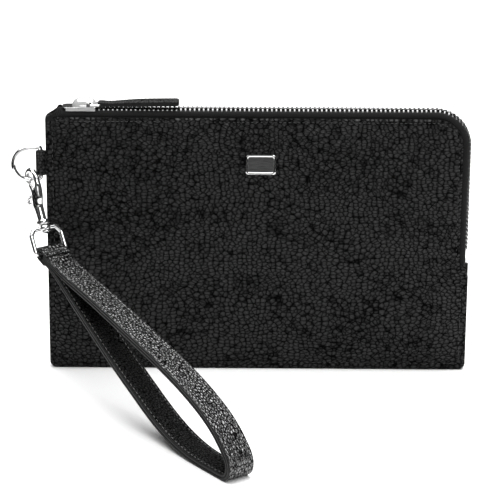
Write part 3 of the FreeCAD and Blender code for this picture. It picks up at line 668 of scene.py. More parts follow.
def panel_lines(low, high):
    """Grid lines from one edge to the other, close together near both."""
    insets = [0, .12, .35, .7, 1.1, 1.5, 1.9, 2.3, 2.8, 3.3, 3.65, 4.0, 4.35, 4.8, 5.5, 6.5, 8, 10,
              12, 14, 16, 19, 23, 28]
    middle = np.linspace(low + 33, high - 33, int((high - low - 66) / 4) + 1)
    return np.array([low + i for i in insets] + list(middle) + [high - i for i in insets[::-1]])


def panel_plan():
    """The panel's grid in its own plane, bent to its rounded corners and its side rim."""
    x, z = np.meshgrid(panel_lines(-HALF_WIDTH, SIDE), panel_lines(0.0, HEIGHT), indexing="ij")
    for right, top, radius in ((0, 0, 4.0), (1, 0, 4.0), (1, 1, CORNER), (0, 1, 2.0)):
        centre_x = SIDE - radius if right else -HALF_WIDTH + radius
        centre_z = HEIGHT - radius if top else radius
        a = (x - centre_x) * (1 if right else -1) / radius
        b = (z - centre_z) * (1 if top else -1) / radius
        inside = (a > 0) & (b > 0)
        round_a = a * np.sqrt(np.clip(1 - b * b / 2, 0, 1))
        round_b = b * np.sqrt(np.clip(1 - a * a / 2, 0, 1))
        x = np.where(inside, centre_x + round_a * radius * (1 if right else -1), x)
        z = np.where(inside, centre_z + round_b * radius * (1 if top else -1), z)
    stretch = (HALF_WIDTH - SIDE) * sewn_share(z)
    x = x + stretch * np.clip((x - SIDE + 14) / 14, 0, 1)
    return x, z


def sheet(x, z, outer, inner, side):
    """Points, faces and rim faces of a sheet, from its plan and how far its two faces stand out
    from the wallet's middle plane. Side is -1 for the front and 1 for the back."""
    rows, columns = x.shape
    size = rows * columns
    points = [(px, side * d, pz) for depth in (outer, inner)
              for px, d, pz in zip(x.ravel(), depth.ravel(), z.ravel())]
    faces, _ = grid_faces(rows, columns, flip=side > 0)
    inside, _ = grid_faces(rows, columns, offset=size, flip=side < 0)
    rim = [(i, 0) for i in range(rows)] + [(rows - 1, j) for j in range(1, columns)] \
        + [(i, columns - 1) for i in range(rows - 2, -1, -1)] \
        + [(0, j) for j in range(columns - 2, 0, -1)]
    walls = []
    for k, (i, j) in enumerate(rim):
        before, here = rim[k - 1][0] * columns + rim[k - 1][1], i * columns + j
        quad = [before, here, here + size, before + size]
        walls.append(quad[::-1] if side < 0 else quad)
    return points, faces + inside, walls


def panel_skin(name, side):
    """A whole leather panel with its outer and inner faces and its rounded rims."""
    x, z = panel_plan()
    outer = outer_depth(x, z)
    for (i, j), px in np.ndenumerate(x):
        outer[i, j] += 0.22 * noise.noise(Vector((px * 0.018, z[i, j] * 0.018, 3.7 * side)))
    sewn, _ = edge_distances(x, z)
    inner = np.minimum(np.where(sewn < 6.5, 1.0, outer - LEATHER), outer - 0.9)
    points, faces, walls = sheet(x, z, outer, inner, side)
    plan = np.stack([x.ravel(), z.ravel()], axis=1) * MM
    uvs = [plan[v % x.size] for face in faces + walls for v in face]
    slots = [0] * len(faces) + [1] * len(walls)
    return mesh_object(name, points, faces + walls, [PANEL, EDGE], uvs=uvs, slots=slots)


def on_panel(x, z, side):
    """A place on a panel's outer face and the direction it faces."""
    step = 0.4
    x, z = np.array(x, float), np.array(z, float)
    depth = outer_depth(x, z)
    slope_x = (outer_depth(x + step, z) - outer_depth(x - step, z)) / (2 * step)
    slope_z = (outer_depth(x, z + step) - outer_depth(x, z - step)) / (2 * step)
    places = np.stack([x, side * depth, z], axis=1)
    normals = np.stack([-slope_x, np.full_like(x, side), -slope_z], axis=1)
    return places, unit(normals)


def panel_stitches(name, side, path, pitch, **size):
    """Stitches at an even pitch along a polyline on a panel."""
    path = np.array(path, float)
    run = run_lengths(path)
    plan = sampled(np.arange(pitch / 2, run[-1], pitch), run, path)
    places, normals = on_panel(plan[:, 0], plan[:, 1], side)
    runs = tangents(places)
    runs = unit(runs - normals * (runs * normals).sum(1)[:, None])
    return stitch_row(name, places, runs, normals, THREAD, **size)


def arc(centre, radius, start, end, steps=12):
    """Points of an arc in a plane, with its angles in degrees."""
    turn = np.radians(np.linspace(start, end, steps))
    return [(centre[0] + radius * math.cos(t), centre[1] + radius * math.sin(t)) for t in turn]


def seam_path():
    """The perimeter seam, 4 mm inside the sewn edges."""
    left, low, right = -HALF_WIDTH + SEAM_INSET, SEAM_INSET, HALF_WIDTH - SEAM_INSET
    turn = 1.5
    return ([(left, HEIGHT - 1.5), (left, low + turn)]
            + arc((left + turn, low + turn), turn, 180, 270, 5)
            + arc((right - turn, low + turn), turn, 270, 360, 5) + [(right, STOP_Z - 4)])


def zip_seam_path():
    """The stitches that hold the zip tape, 2 mm inside the zipped edges."""
    inset = 2.0
    return ([(-HALF_WIDTH + 3, HEIGHT - inset), (SIDE - CORNER, HEIGHT - inset)]
            + arc((SIDE - CORNER, HEIGHT - CORNER), CORNER - inset, 90, 0)[1:]
            + [(SIDE - inset, STOP_Z + 4)])


def blended(piece):
    """Bakes a front piece's placement into its mesh and leaves its shape as it is."""
    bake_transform(piece)


def make_panels():
    """Both leather panels with the stitches of their seams."""
    front = panel_skin("front_leather", -1)
    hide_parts("front_panel", "front_panel_mouth")
    back = panel_skin("back_leather", 1)
    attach(back, "wallet")
    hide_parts("back_panel")
    blended(front)
    for side, word in SIDES:
        seam = panel_stitches(word + "_seam_stitches", side, seam_path(), 3.3, long=2.5,
                              thick=0.55, sink=0.2)
        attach(seam, "wallet")
        zip_seam = panel_stitches(word + "_zip_stitches", side, zip_seam_path(), 2.6, long=1.9,
                                  thick=0.42, sink=0.1)
        if side < 0:
            blended(zip_seam)
        else:
            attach(zip_seam, "wallet")
    dress(("seam_welt",), EDGE)


def make_linings():
    """Lining cloth a little inside each panel, short of its edges."""
    x, z = panel_plan()
    hem = slice(16, -16)
    x, z = x[hem, hem], z[hem, hem]
    depth = outer_depth(x, z) - LEATHER - 0.35
    for side, word in SIDES:
        points, faces, walls = sheet(x, z, depth, depth - 0.3, side)
        piece = mesh_object(word + "_lining_cloth", points, faces + walls, [LINING])
        if side < 0:
            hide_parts("front_lining", "front_lining_mouth")
            blended(piece)
        else:
            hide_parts("back_lining")
            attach(piece, "wallet")


# ---------------- the zip

def zip_line(run, rise, depth):
    """A place beside the zip and its forward direction, from the distance along from the first
    tooth, the height above the leather's edge and the depth from the middle plane."""
    radius = CORNER + TOOTH_MIDDLE
    top = SIDE - CORNER - FIRST_TOOTH
    if run <= top:
        out, ahead = np.array([0.0, 0, 1]), np.array([1.0, 0, 0])
        place = np.array([FIRST_TOOTH + run, 0, HEIGHT])
    else:
        turn = min((run - top) / radius, math.pi / 2)
        out = np.array([math.sin(turn), 0, math.cos(turn)])
        ahead = np.array([math.cos(turn), 0, -math.sin(turn)])
        drop = run - top - turn * radius
        place = np.array([SIDE - CORNER, 0, HEIGHT - CORNER]) + out * CORNER + ahead * drop
    return place + out * rise + np.array([0, depth, 0]), ahead


ZIP_LONG = (SIDE - CORNER - FIRST_TOOTH) + math.pi / 2 * (CORNER + TOOTH_MIDDLE) \
    + (HEIGHT - CORNER - STOP_Z)


def make_tapes():
    """Each tape: sewn under the leather's lip, up past it, over and in to the teeth, with its
    left end cut on a slant and folded over the end of the chain."""
    start, slant = -119.0 - FIRST_TOOTH, 6.0
    outer = [(-2.6, LIP - 2.15), (-0.8, LIP - 2.15), (0.3, TAPE_OUT), (1.3, TAPE_OUT + 0.12),
             (2.3, TAPE_OUT - 0.02), (3.0, TAPE_OUT - 0.5), (3.45, TAPE_OUT - 1.2),
             (3.7, TAPE_OUT - 1.8), (3.75, TAPE_INNER)]
    inner = [(3.25, TAPE_INNER), (3.15, TAPE_OUT - 1.7), (2.95, TAPE_OUT - 1.3),
             (2.5, TAPE_OUT - 0.9), (2.0, TAPE_OUT - 0.55), (1.2, TAPE_OUT - 0.45),
             (0.3, TAPE_OUT - 0.52), (-0.9, LIP - 2.65), (-2.6, LIP - 2.65)]
    loop = outer + inner
    runs = list(np.arange(start, start + 12, 0.6)) + list(np.arange(start + 12, 200, 2.0)) \
        + list(np.arange(200, ZIP_LONG + 1.5, 1.2))
    for side, word in SIDES:
        sections = []
        for run in runs:
            section = []
            from_end = run - start
            lump = ease(from_end / 0.8) * (1 - ease((from_end - 2.6) / 1.6))
            for q, d in loop:
                share = np.clip(q / TAPE_RISE, 0, 1)
                lean = slant * share ** 0.7 * np.clip(1 - from_end / 30, 0, 1)
                wave = 0.1 * noise.noise(Vector((run * 0.05, q * 0.1, side)))
                fold = 1.5 * lump * ease((share - 0.55) / 0.4)
                place, _ = zip_line(run + lean, q + fold, side * (d + wave))
                section.append(place)
            sections.append(section)
        piece = swept(word + "_tape_twill", sections, [TWILL], flip=side > 0)
        sharp_by_angle(piece, 60)
        if side < 0:
            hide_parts("front_tape", "front_tape_mouth")
            blended(piece)
        else:
            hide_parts("back_tape")
            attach(piece, "wallet")


def tooth_points(thick):
    """One tooth as slices of its side view: a leg over the tape with a chamfered end, and a head
    that reaches a little past the zip's middle."""
    side_view = [(-3.0, -0.9), (-3.45, -0.6), (-3.55, 0.2), (-3.4, 0.38), (-2.5, 0.92),
                 (-2.2, 1.0), (0.15, 1.0), (0.38, 0.85), (0.42, 0.5), (0.42, -0.6),
                 (0.1, -0.8), (-1.2, -0.9)]
    slices = []
    for across, shrink in ((-0.5, 0.8), (-0.34, 1.0), (0.34, 1.0), (0.5, 0.8)):
        centre = np.mean(side_view, axis=0)
        slices.append([(across * thick, *(centre + (np.array(p) - centre) * shrink
                                          + np.array([0, TOOTH_MIDDLE]))) for p in side_view])
    return slices


def make_teeth():
    """The two rows of teeth, half a pitch apart so that their heads interlock."""
    pitch_count = int((ZIP_LONG - 6) / TOOTH_PITCH)
    for side, word in SIDES:
        points, faces = [], []
        slices = tooth_points(TOOTH_THICK)
        columns = len(slices[0])
        for index in range(pitch_count):
            run = index * TOOTH_PITCH + (0 if side < 0 else TOOTH_PITCH / 2)
            base = len(points)
            for section in slices:
                for across, depth, rise in section:
                    place, ahead = zip_line(run, rise, -side * depth)
                    points.append(place + ahead * across)
            quads, _ = grid_faces(len(slices), columns, wrap=True, offset=base, flip=side > 0)
            faces += quads
            last = base + (len(slices) - 1) * columns
            caps = [list(range(base, base + columns))[::-1], list(range(last, last + columns))]
            faces += [cap[::-1] for cap in caps] if side > 0 else caps
        piece = mesh_object(word + "_tooth_row", points, faces, [TEETH], smooth=False)
        if side < 0:
            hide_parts("front_teeth", "front_teeth_mouth")
            blended(piece)
        else:
            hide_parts("back_teeth")
            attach(piece, "wallet")
    dress(("top_stops", "bottom_stop"), STOP)


# ---------------- slider and pull

LINK_AT = joint_place("link_hinge")
PULL_AT = joint_place("pull_hinge")
LINK_LONG = PULL_AT[0] - LINK_AT[0]
SLIDER_AT = LINK_AT - np.array([6.0, 0, 3.4])


def make_slider():
    """The slider's two wings with rails and a skirt between them, and the domed cap, which has an
    arch for the link."""
    cap_middle, cap_long, cap_wide, cap_rise, cap_power = 2.9, 7.1, 4.75, 5.3, 2.3
    x_axis, y_axis = np.array([1.0, 0, 0]), np.array([0, 1.0, 0])
    axes = (x_axis, y_axis, UP)
    wing = rounded_corners([(-9.2, -3.0), (-7.6, -4.5), (0, -4.5), (9.2, -3.9), (9.2, 3.9),
                            (0, 4.5), (-7.6, 4.5), (-9.2, 3.0)],
                           [0.8, 1.2, 2, 1.0, 1.0, 2, 1.2, 0.8])
    upper = plate("upper_wing", wing * 1.04, 0.5, SLIDER_AT + UP * 1.87, axes, CHROME, 0.2)
    lower = plate("lower_wing", wing * 0.8, 0.8, SLIDER_AT - UP * 2.2, axes, CHROME, 0.3)
    rails = []
    skirt = [(cap_middle + a, b) for a, b in ring_points(72, cap_long, 4.8, cap_power)]
    for side in (-1, 1):
        rail = [(-7.4, 4.25 * side), (9.0, 4.2 * side), (9.0, 4.65 * side), (-7.4, 4.7 * side)]
        rails.append(plate("rail", rounded_corners(rail, 0.12), 2.0, SLIDER_AT + UP * 0.3, axes,
                           CAP_METAL, 0.12))
        cheek = sorted(p for p in skirt if p[1] * side > 4.3)
        rails.append(plate("cheek", cheek, 2.0, SLIDER_AT + UP * 0.3, axes, CAP_METAL, 0.06))
    body = join("slider_wings", [upper, lower] + rails)
    fix_normals(body)
    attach(body, "slider")
    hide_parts("slider_body")

    sections = []
    rings = 18
    for k in range(rings + 1):
        angle = math.pi / 2 * k / rings
        width = max(math.cos(angle) ** 0.9, 0.004)
        rise = cap_rise * math.sin(angle)
        outline = ring_points(56, cap_long * width, cap_wide * width, cap_power)
        sections.append([SLIDER_AT + np.array([cap_middle + a, b, 2.1 + rise])
                         for a, b in outline])
    dome = swept("slider_dome", sections, [CAP_METAL])
    arch = [(4.2, 2.4), (8.7, 2.4), (8.4, 3.6), (7.6, 4.7), (6.1, 5.3), (4.6, 4.9), (4.1, 3.6)]
    tunnel = plate("tunnel", rounded_corners(arch, 0.3, 3), 14.0, SLIDER_AT - y_axis * 7,
                   (x_axis, UP, y_axis), CAP_METAL, 0.02)
    for cut in (dome, tunnel):
        fix_normals(cut)
    carve(dome, tunnel)
    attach(dome, "slider")
    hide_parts("slider_cap")


def make_link():
    """The wire link between the slider and the leather pull."""
    half = 4.5
    outline = rounded_corners([(0, -half), (LINK_LONG, -half), (LINK_LONG, half), (0, half)],
                              1.3, 6)
    path = [LINK_AT + np.array([a, b, 0]) for a, b in outline]
    link_wire = tube("link_wire", path, 0.62, CHROME, UP, closed=True)
    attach(link_wire, "link")
    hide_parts("puller_link")


PULL_LONG = 44.3
PULL_FOLD = 1.42               # radius of the fold round the link
PULL_RISE = math.radians(1.8)


def on_pull(s, width, height):
    """A place in the pull's own frame: along it, across it and over its middle."""
    bow = 0.3 * math.sin(math.pi * min(max(s, 0) / PULL_LONG, 1)) - 0.25 * ease((s - 2) / 6)
    ahead = np.array([math.cos(PULL_RISE), 0, math.sin(PULL_RISE)])
    over = np.array([-math.sin(PULL_RISE), 0, math.cos(PULL_RISE)])
    return PULL_AT + ahead * s + np.array([0, width, 0]) + over * (height + bow)


def pull_sizes(s):
    """Half width and half thickness of the pull at a distance from its bar."""
    width = 3.3 + 1.45 * ease(s / 30)
    if s < 0:
        half = math.sqrt(max(PULL_FOLD ** 2 - s ** 2, 0.01))
        width -= 0.25 * (s / PULL_FOLD) ** 2
    else:
        half = PULL_FOLD - 0.38 * ease(s / 4.5) + 0.3 * ease((s - 6) / 16)
    end = max(s - (PULL_LONG - 1.6), 0)
    width -= 1.6 - math.sqrt(max(1.6 ** 2 - end ** 2, 0.0))
    half -= 0.22 * ease(end / 1.6)
    return width, half


def make_pull():
    """The folded leather pull: a round fold over the link, a pinch, and two glued layers with
    painted edges and a stitched rim."""
    rim = [(-1, -.1), (-1.0, .35), (-.985, .7), (-.95, .93), (-.88, 1.02), (-.7, .985),
           (-.4, 1.0), (0, 1.03)]
    upper = mirrored(rim)
    lower = mirrored([(.985, -.6), (.94, -.92), (.86, -1.0), (.4, -1.0), (0, -1.02)])
    stations = np.concatenate([PULL_FOLD * np.sin(np.linspace(-math.pi / 2, 0, 10)) * 0.995,
                               np.linspace(0.3, 8, 18), np.linspace(9, PULL_LONG - 1.7, 26),
                               PULL_LONG - 1.6 + 1.6 * np.sin(np.linspace(0.1, 1.5, 7))])
    sections = []
    for s in stations:
        width, half = pull_sizes(s)
        sections.append([on_pull(s, a * width, b * half) for a, b in upper + lower])
    last = len(upper) - 1

    def side_or_face(j):
        return 1 if j < 3 or last - 3 <= j < last + 1 or j >= last + 9 else 0
    pull = swept("pull_leather", sections, [PULL_LEATHER, EDGE], side_or_face)
    fix_normals(pull)
    bore = tube("bore", [PULL_AT + np.array([0, d, 0]) for d in (-8, -3, 3, 8)], 0.72, CHROME,
                UP, segments=16)
    fix_normals(bore)
    carve(pull, bore)
    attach(pull, "pull")
    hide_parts("pull_tab")

    places, first, final = [], 5.5, PULL_LONG - 2.6
    line = [(s, -1) for s in np.arange(first, final, 2.3)] + [(final, t) for t in (-.5, 0, .5)] \
        + [(s, 1) for s in np.arange(final, first, -2.3)]
    for s, side in line:
        width, half = pull_sizes(s)
        places.append(on_pull(s, side * (width - 1.3), half))
    places = np.array(places)
    stitches = stitch_row("pull_stitches", places, tangents(places), [UP] * len(places), THREAD,
                          long=1.7, thick=0.4, sink=0.08)
    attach(stitches, "pull")


# ---------------- ring tab and D-ring

RING_AT = joint_place("ring_hinge")
RING_OUT = (HANG - RING_AT) * np.array([1, 1, 0])
RING_OUT /= np.linalg.norm(RING_OUT)


def make_ring():
    """The D-ring, its bar inside the folded leather tab that is sewn into the left seam."""
    half, straight = 9.2, 6.4  # half height of the ring and its straight part
    corners = rounded_corners([(0, half), (0, -half), (straight, -half), (straight, half)],
                              [1.6, 1.6, 0.01, 0.01], 5)[:12]
    bow = arc((straight, 0), half, -90, 90, 28)
    outline = list(corners) + bow
    path = [RING_AT + RING_OUT * a + UP * b for a, b in outline]
    ring = tube("ring_wire", path, 1.25, CHROME, np.cross(RING_OUT, UP), closed=True)
    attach(ring, "ring")
    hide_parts("d_ring")

    edge = -HALF_WIDTH - RING_AT[0]
    fold = 2.75
    turn = np.linspace(math.radians(68), math.radians(292), 19)
    rounded = [(fold * math.cos(t), fold * math.sin(t)) for t in turn]
    section = rounded + [(edge - 0.6, -1.5), (edge + 0.3, -1.0), (edge + 3.2, -0.95),
                         (edge + 3.2, 0.95), (edge + 0.3, 1.0), (edge - 0.6, 1.5)]
    sections = []
    levels = mirrored([(-7.0, 0.4), (-6.9, 0.16), (-6.6, 0.03), (-6, 0), (-3, 0), (0, 0)])
    for height, inset in levels:
        sections.append([RING_AT + np.array([a * (1 - inset / 3), b * (1 - inset / 3), height])
                         for a, b in section])
    tab = swept("ring_tab_leather", sections, [SMALL_LEATHER])
    bore = tube("bore", [RING_AT + UP * d for d in (-12, -4, 4, 12)], 1.33, CHROME,
                np.array([0, 1.0, 0]), segments=20)
    carve(tab, bore)
    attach(tab, "wallet")
    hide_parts("ring_tab")


# ---------------- snap hook

def in_hook(a, b, c=0.0):
    """A place in the hook's own frame: towards the gate, along the gate's axis, up the stem."""
    return HANG + GATE_SIDE * a + HOOK_NORMAL * c + STEM_UP * b


def lofted_hook(name, stations, power):
    """A cast piece from sections along its middle line. Each station is the middle's place
    towards the gate and up the stem, the half width in the hook's plane and across it."""
    fine = smooth_path(stations, 64)
    runs = tangents(fine[:, :2])
    sections = []
    for (a, b, wide, deep), run in zip(fine, runs):
        across = np.array([run[1], -run[0]])
        section = ring_points(22, max(wide, 0.05), max(deep, 0.05), power)
        sections.append([in_hook(a + across[0] * p, b + across[1] * p, q) for p, q in section])
    return swept(name, sections, [CHROME])


def make_hook():
    """The cast snap hook: bow, spine, body with the gate's slot, stem and collar."""
    bow = [(2.4, -1.9, 0.75, 0.9), (2.95, -1.1, 1.15, 1.3), (3.4, 0.6, 1.25, 1.45),
           (2.3, 3.3, 1.3, 1.5), (-0.6, 4.75, 1.35, 1.5), (-3.7, 3.9, 1.3, 1.5),
           (-5.3, 1.2, 1.3, 1.5), (-5.9, -2.2, 1.4, 1.55), (-5.6, -5.2, 1.6, 1.8),
           (-3.9, -7.9, 2.7, 2.4), (-2.0, -10.4, 3.7, 2.55), (-0.7, -13.0, 3.5, 2.5),
           (0, -15.6, 3.0, 2.5), (0, -18.0, 2.65, 2.5), (0, -21.5, 2.4, 2.4),
           (0, -24.4, 2.35, 2.35)]
    body = lofted_hook("hook_cast", bow, 2.4)
    slot = plate("slot", [(-0.9, -5), (9, -5), (9, -13.4), (-0.9, -13.4)], 2.3,
                 in_hook(0, 0, -1.15), (GATE_SIDE, STEM_UP, HOOK_NORMAL), CHROME, 0.02)
    carve(body, slot)
    collar = lathe("collar", [(1.2, -24.0), (2.6, -24.2), (3.3, -24.5), (3.6, -25.1),
                              (3.6, -26.4), (3.3, -27.0), (2.6, -27.3), (1.6, -27.35)],
                   HANG, STEM_UP, CHROME)
    body = join("hook_cast", [body, collar])
    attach(body, "hook")
    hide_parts("hook_body")

    rivet = lathe("rivet_turned", [(1.5, -24.8), (1.5, -30.6), (2.5, -30.75), (2.7, -31.1),
                                   (2.6, -31.6), (1.9, -32.0), (0.05, -32.1)],
                  HANG, STEM_UP, CHROME)
    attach(rivet, "hook")
    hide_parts("swivel_rivet")
    dress(("gate_pin", "gate_spring"), CHROME)

    lever = [(2.6, -2.1, 0.6, 0.7), (2.45, -3.2, 0.9, 0.95), (2.0, -5.2, 0.95, 0.95),
             (1.7, -7.2, 1.0, 0.95), (2.0, -9.0, 1.45, 0.95), (3.8, -9.9, 1.15, 0.98),
             (6.4, -10.1, 0.8, 1.1), (8.7, -10.5, 0.7, 1.3), (9.5, -11.6, 0.65, 1.4),
             (8.3, -13.4, 0.6, 1.35), (6.9, -15.2, 0.4, 1.0)]
    gate = lofted_hook("gate_cast", lever, 2.2)
    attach(gate, "gate")
    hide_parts("hook_gate")


def make_eye():
    """The bent-wire eye under the rivet, with its flattened boss."""
    top = STEM_LONG - 29.0
    outline = rounded_corners([(-9.8, 0), (9.8, 0), (9.7, 10.6), (7.2, top), (-7.2, top),
                               (-9.7, 10.6)], [1.7, 1.7, 2.2, 2.0, 2.0, 2.2], 7)
    path = [STRAP_BAR + BAR_RUN * a + STEM_UP * b for a, b in outline]
    wire = tube("eye_wire", path, 1.3, CHROME, np.cross(BAR_RUN, STEM_UP), closed=True,
                segments=18)
    boss = lathe("boss", [(1.62, -1.45), (2.6, -1.5), (3.2, -1.1), (3.35, 0), (3.2, 1.0),
                          (2.7, 1.35), (1.62, 1.4)],
                 STRAP_BAR + STEM_UP * top, STEM_UP, CHROME)
    eye = join("eye_wire", [wire, boss])
    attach(eye, "eye")
    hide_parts("strap_eye")


# ---------------- wrist strap

# middle line of the strap from one clamped end round to the other, given as the distance out
# from the bar and height over it, with the loop's end resting on the ground
STRAP_ROUTE = [(4.4, -0.3), (8.4, -1.9), (12.6, -3.6), (24, -7.2), (37, -10), (60, -15.2),
               (95, -24), (132, -34.2), (152, -41.8), (167, -50), (176.6, -58.4),
               (181.2, -66.4), (179.2, -71.8), (172.6, -73.2), (159, -73.2), (145, -72.4),
               (130, -69.4), (111, -62.4), (95, -54.4), (76, -44.4), (58, -34), (36, -20.8),
               (22, -12.1), (11.6, -6.1), (7.4, -4.4), (3.4, -2.8)]
STRAP_STEPS = 260
STRAP_HALF_WIDTH = 8.0


def strap_frames():
    """Places, side and outward directions and half thicknesses along the strap."""
    route = smooth_path(STRAP_ROUTE, STRAP_STEPS)
    runs = tangents(route)
    frames = []
    for (s, height), (ds, dz) in zip(route, runs):
        place = STRAP_BAR + STRAP_OUT * s + UP * height
        out = -STRAP_OUT * dz + UP * ds
        run = STRAP_OUT * ds + UP * dz
        half = 1.2 + 0.6 * np.clip((s - 12) / 22, 0, 1)
        frames.append((place, BAR_RUN, out, run, half))
    return frames


def layer_section(sign):
    """One leather of the strap: fractions of the half width and the half thickness, from the
    glue line out round the painted edge and over the crowned face."""
    half = [(0.965, 0.1), (0.99, 0.2), (1.0, 0.45), (0.995, 0.72), (0.975, 0.93), (0.93, 1.0),
            (0.86, 0.985), (0.8, 0.95), (0.74, 0.985), (0.5, 1.02), (0.25, 1.04), (0, 1.045)]
    return [(w, sign * v) for w, v in mirrored(half)]


def make_strap():
    """The strap's two leathers and the filler between them."""
    frames = strap_frames()
    for sign, name, node in ((1, "strap_outer_leather", "strap_outer"),
                             (-1, "strap_inner_leather", "strap_inner")):
        section = layer_section(sign)
        last = len(section) - 1
        sections = [[place + side * (w * STRAP_HALF_WIDTH) + out * (v * half)
                     for w, v in section] for place, side, out, _, half in frames]

        def edge_or_face(j, last=last):
            return 1 if j < 5 or j > last - 6 else 0
        # the inner leather's material carries painted shade for the inside of the loop
        face = STRAP if sign > 0 else STRAP_BACK_PAINTED_SHADE
        piece = swept(name, sections, [face, EDGE], edge_or_face, flip=sign < 0)
        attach(piece, "strap")
        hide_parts(node)
    core = [(0.955, 0.1), (0.955, -0.1), (-0.955, -0.1), (-0.955, 0.1)]
    sections = [[place + side * (w * STRAP_HALF_WIDTH) + out * (v * half) for w, v in core]
                for place, side, out, _, half in frames]
    filler = swept("strap_filler_core", sections, [LINING], flip=True)
    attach(filler, "strap")
    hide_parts("strap_filler")
    make_strap_stitches(frames)


def make_strap_stitches(frames):
    """Two rows of stitches that show on both faces of the strap."""
    middle = np.array([place for place, *_ in frames])
    outs = np.array([out for _, _, out, _, _ in frames])
    halves = np.array([half for *_, half in frames])
    run = run_lengths(middle)
    at = np.arange(14, run[-1] - 12, 3.1)
    places, normals = sampled(at, run, middle), sampled(at, run, outs)
    thick = np.interp(at, run, halves)[:, None]
    forward = tangents(places)
    rows = []
    for face in (1, -1):
        for edge in (-1, 1):
            spots = places + BAR_RUN * (edge * 0.8 * STRAP_HALF_WIDTH) \
                + normals * (face * 0.96 * thick)
            rows.append(stitch_row("row", spots, forward, normals * face, STRAP_THREAD_PAINTED_HIGHLIGHT, long=2.2,
                                   thick=0.5, sink=0.1))
    stitches = join("strap_stitches", rows)
    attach(stitches, "strap")


def make_keeper():
    """The leather keeper folded round the eye's bar, its two ends stitched over the strap."""
    pitch = math.radians(-22)
    ahead = STRAP_OUT * math.cos(pitch) + UP * math.sin(pitch)
    over = np.cross(ahead, BAR_RUN)
    if over @ UP < 0:
        over = -over
    thick, inner = 1.4, 2.45
    middle = inner + thick / 2
    line = [(6.6, middle - 0.1)] + [(s, middle) for s in (5.2, 3.8, 2.4)]
    line += [(middle * math.cos(t), middle * math.sin(t)) for t in
             np.radians(np.linspace(90, 270, 15))]
    line += [(s, -middle) for s in (2.4, 3.8, 5.2)] + [(6.6, -middle + 0.1)]
    line = smooth_path(line, 72)
    runs = tangents(line)
    profile = mirrored([(0.97, -0.45), (1.0, 0), (0.97, 0.42), (0.9, 0.52), (0.78, 0.44),
                        (0.4, 0.5), (0, 0.52)]) + [(0, -0.5)]
    sections = []
    for k, ((s, height), (ds, dz)) in enumerate(zip(line, runs)):
        place = STRAP_BAR + ahead * s + over * height
        out = over * ds - ahead * dz
        outward = ahead * min(s, 0) + over * height
        if out @ outward < 0:
            out = -out
        end = min(k, len(line) - 1 - k)
        slim = 1 - 0.35 * math.exp(-end / 1.2)
        sections.append([place + BAR_RUN * (w * 8.1) + out * (v * thick * slim)
                         for w, v in profile])

    def edge_or_face(j):
        return 1 if j in (0, 1, 10, 11) else 0
    keeper = swept("keeper_leather", sections, [STRAP, EDGE], edge_or_face)
    fix_normals(keeper)
    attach(keeper, "strap")
    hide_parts("strap_keeper")

    spots = [STRAP_BAR + ahead * 4.9 + over * (inner + thick) + BAR_RUN * w
             for w in np.arange(-6.4, 6.5, 2.56)]
    cross = stitch_row("keeper_stitches", spots, [BAR_RUN] * len(spots), [over] * len(spots),
                       THREAD, long=2.0, thick=0.5, sink=0.12)
    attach(cross, "strap")


# ---------------- badge

def make_badge():
    """A plain framed plate: a bright bevelled frame round a sunk brushed field."""
    low, high = node_box("badge_plate")
    centre = np.array([(low[0] + high[0]) / 2, high[1], (low[2] + high[2]) / 2])
    wide, tall = (high[0] - low[0]) / 2, (high[2] - low[2]) / 2
    outer = rounded_corners([(-wide, -tall), (wide, -tall), (wide, tall), (-wide, tall)], 1.6, 6)
    steps = [(0.0, 0.0), (0.0, 0.8), (0.12, 1.05), (0.35, 1.2), (0.95, 1.2), (1.15, 1.1),
             (1.35, 0.8)]
    sections = []
    for inset, rise in steps:
        scale = np.array([1 - inset / wide, 1 - inset / tall])
        sections.append([centre + np.array([p[0] * scale[0], -rise, p[1] * scale[1]])
                         for p in outer])
    rim = swept("badge_frame", sections, [CHROME, FIELD])
    rim.data.polygons[len(rim.data.polygons) - 1].material_index = 1
    fix_normals(rim)
    sharp_by_angle(rim, 30)
    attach(rim, "wallet")
    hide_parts("badge_plate")


# ---------------- stage, lights and camera

def make_stage():
    material, tree, shader = new_material("ground", (0.93, 0.93, 0.93), 0.9)
    cloud = noise_texture(tree, coordinates(tree), 0.004)
    ramp(tree, cloud, [(0.3, 0.925), (0.7, 0.935)], shader.inputs["Base Color"])
    shader.inputs["Specular IOR Level"].default_value = 0.0
    far = 4000
    floor = mesh_object("ground", [(-far, -far, 0), (far, -far, 0), (far, far, 0),
                                   (-far, far, 0)], [[0, 1, 2, 3]], [material])


def area_light(name, place, aim, size, power):
    data = bpy.data.lights.new(name, "AREA")
    data.shape = "RECTANGLE"
    data.size, data.size_y = size
    data.energy = power
    lamp = bpy.data.objects.new(name, data)
    lamp.location = place
    lamp.rotation_euler = (Vector(aim) - Vector(place)).to_track_quat("-Z", "Y").to_euler()
    bpy.context.scene.collection.objects.link(lamp)


FLAG_NEAR = 340.0              # inner and outer radius of the black card
FLAG_FAR = 2600.0


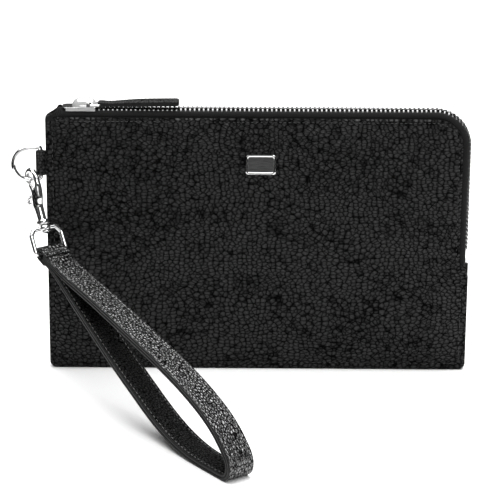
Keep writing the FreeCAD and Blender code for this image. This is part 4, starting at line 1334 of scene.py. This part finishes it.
def make_flag():
    """A black card on the ground round the wallet that only reflections see. It gives the
    leather its depth and the metal its dark lines."""
    material, _, shader = new_material("black_card", (0.0, 0.0, 0.0), 1.0)
    shader.inputs["Specular IOR Level"].default_value = 0.0
    points, segments = [], 48
    for radius in (FLAG_NEAR, FLAG_FAR):
        for k in range(segments):
            turn = 2 * math.pi * k / segments
            points.append((radius * math.cos(turn), radius * math.sin(turn), 1.5))
    faces, _ = grid_faces(2, segments, wrap=True)
    flag = mesh_object("black_card", points, faces, [material])
    flag.visible_camera = False
    flag.visible_diffuse = False
    flag.visible_transmission = False
    flag.visible_shadow = False


def make_lights():
    """A large softbox overhead, and a small one and a low strip in front."""
    world = bpy.data.worlds.new("studio")
    bpy.context.scene.world = world
    world.use_nodes = True
    background = world.node_tree.nodes["Background"]
    background.inputs["Color"].default_value = (1, 1, 1, 1)
    background.inputs["Strength"].default_value = 0.05
    area_light("top_softbox", (0.0, 0.35, 1.6), (0, 0.35, 0), (2.4, 2.2), 85)
    area_light("front_softbox", (0.6, -1.2, 1.15), (0, 0, 0.08), (0.8, 0.6), 11)
    area_light("front_strip", (0.0, -1.7, 0.38), (0, 0, 0.1), (1.8, 0.4), 3)
    bpy.context.scene.view_settings.view_transform = "Standard"


def make_camera():
    """A long lens in front of the wallet, looking a little down on it."""
    pitch, distance, roll = math.radians(18), 1.3, math.radians(0.37)
    aim = Vector((-0.0059, 0, 0.0721))
    back = Vector((0, -math.cos(pitch), math.sin(pitch)))
    right = Vector((1, 0, 0))
    up = back.cross(right)
    data = bpy.data.cameras.new("camera")
    data.lens, data.sensor_width = 165.2, 36
    data.clip_start, data.clip_end = 0.05, 20
    camera = bpy.data.objects.new("camera", data)
    turned_right = right * math.cos(roll) + up * math.sin(roll)
    turned_up = back.cross(turned_right)
    camera.matrix_world = Matrix.Translation(aim + back * distance) @ Matrix(
        (turned_right, turned_up, back)).transposed().to_4x4()
    bpy.context.scene.collection.objects.link(camera)
    bpy.context.scene.camera = camera


make_camera()
make_panels()
make_linings()
make_tapes()
make_teeth()
make_slider()
make_link()
make_pull()
make_ring()
make_hook()
make_eye()
make_strap()
make_keeper()
make_badge()
make_stage()
make_flag()
make_lights()
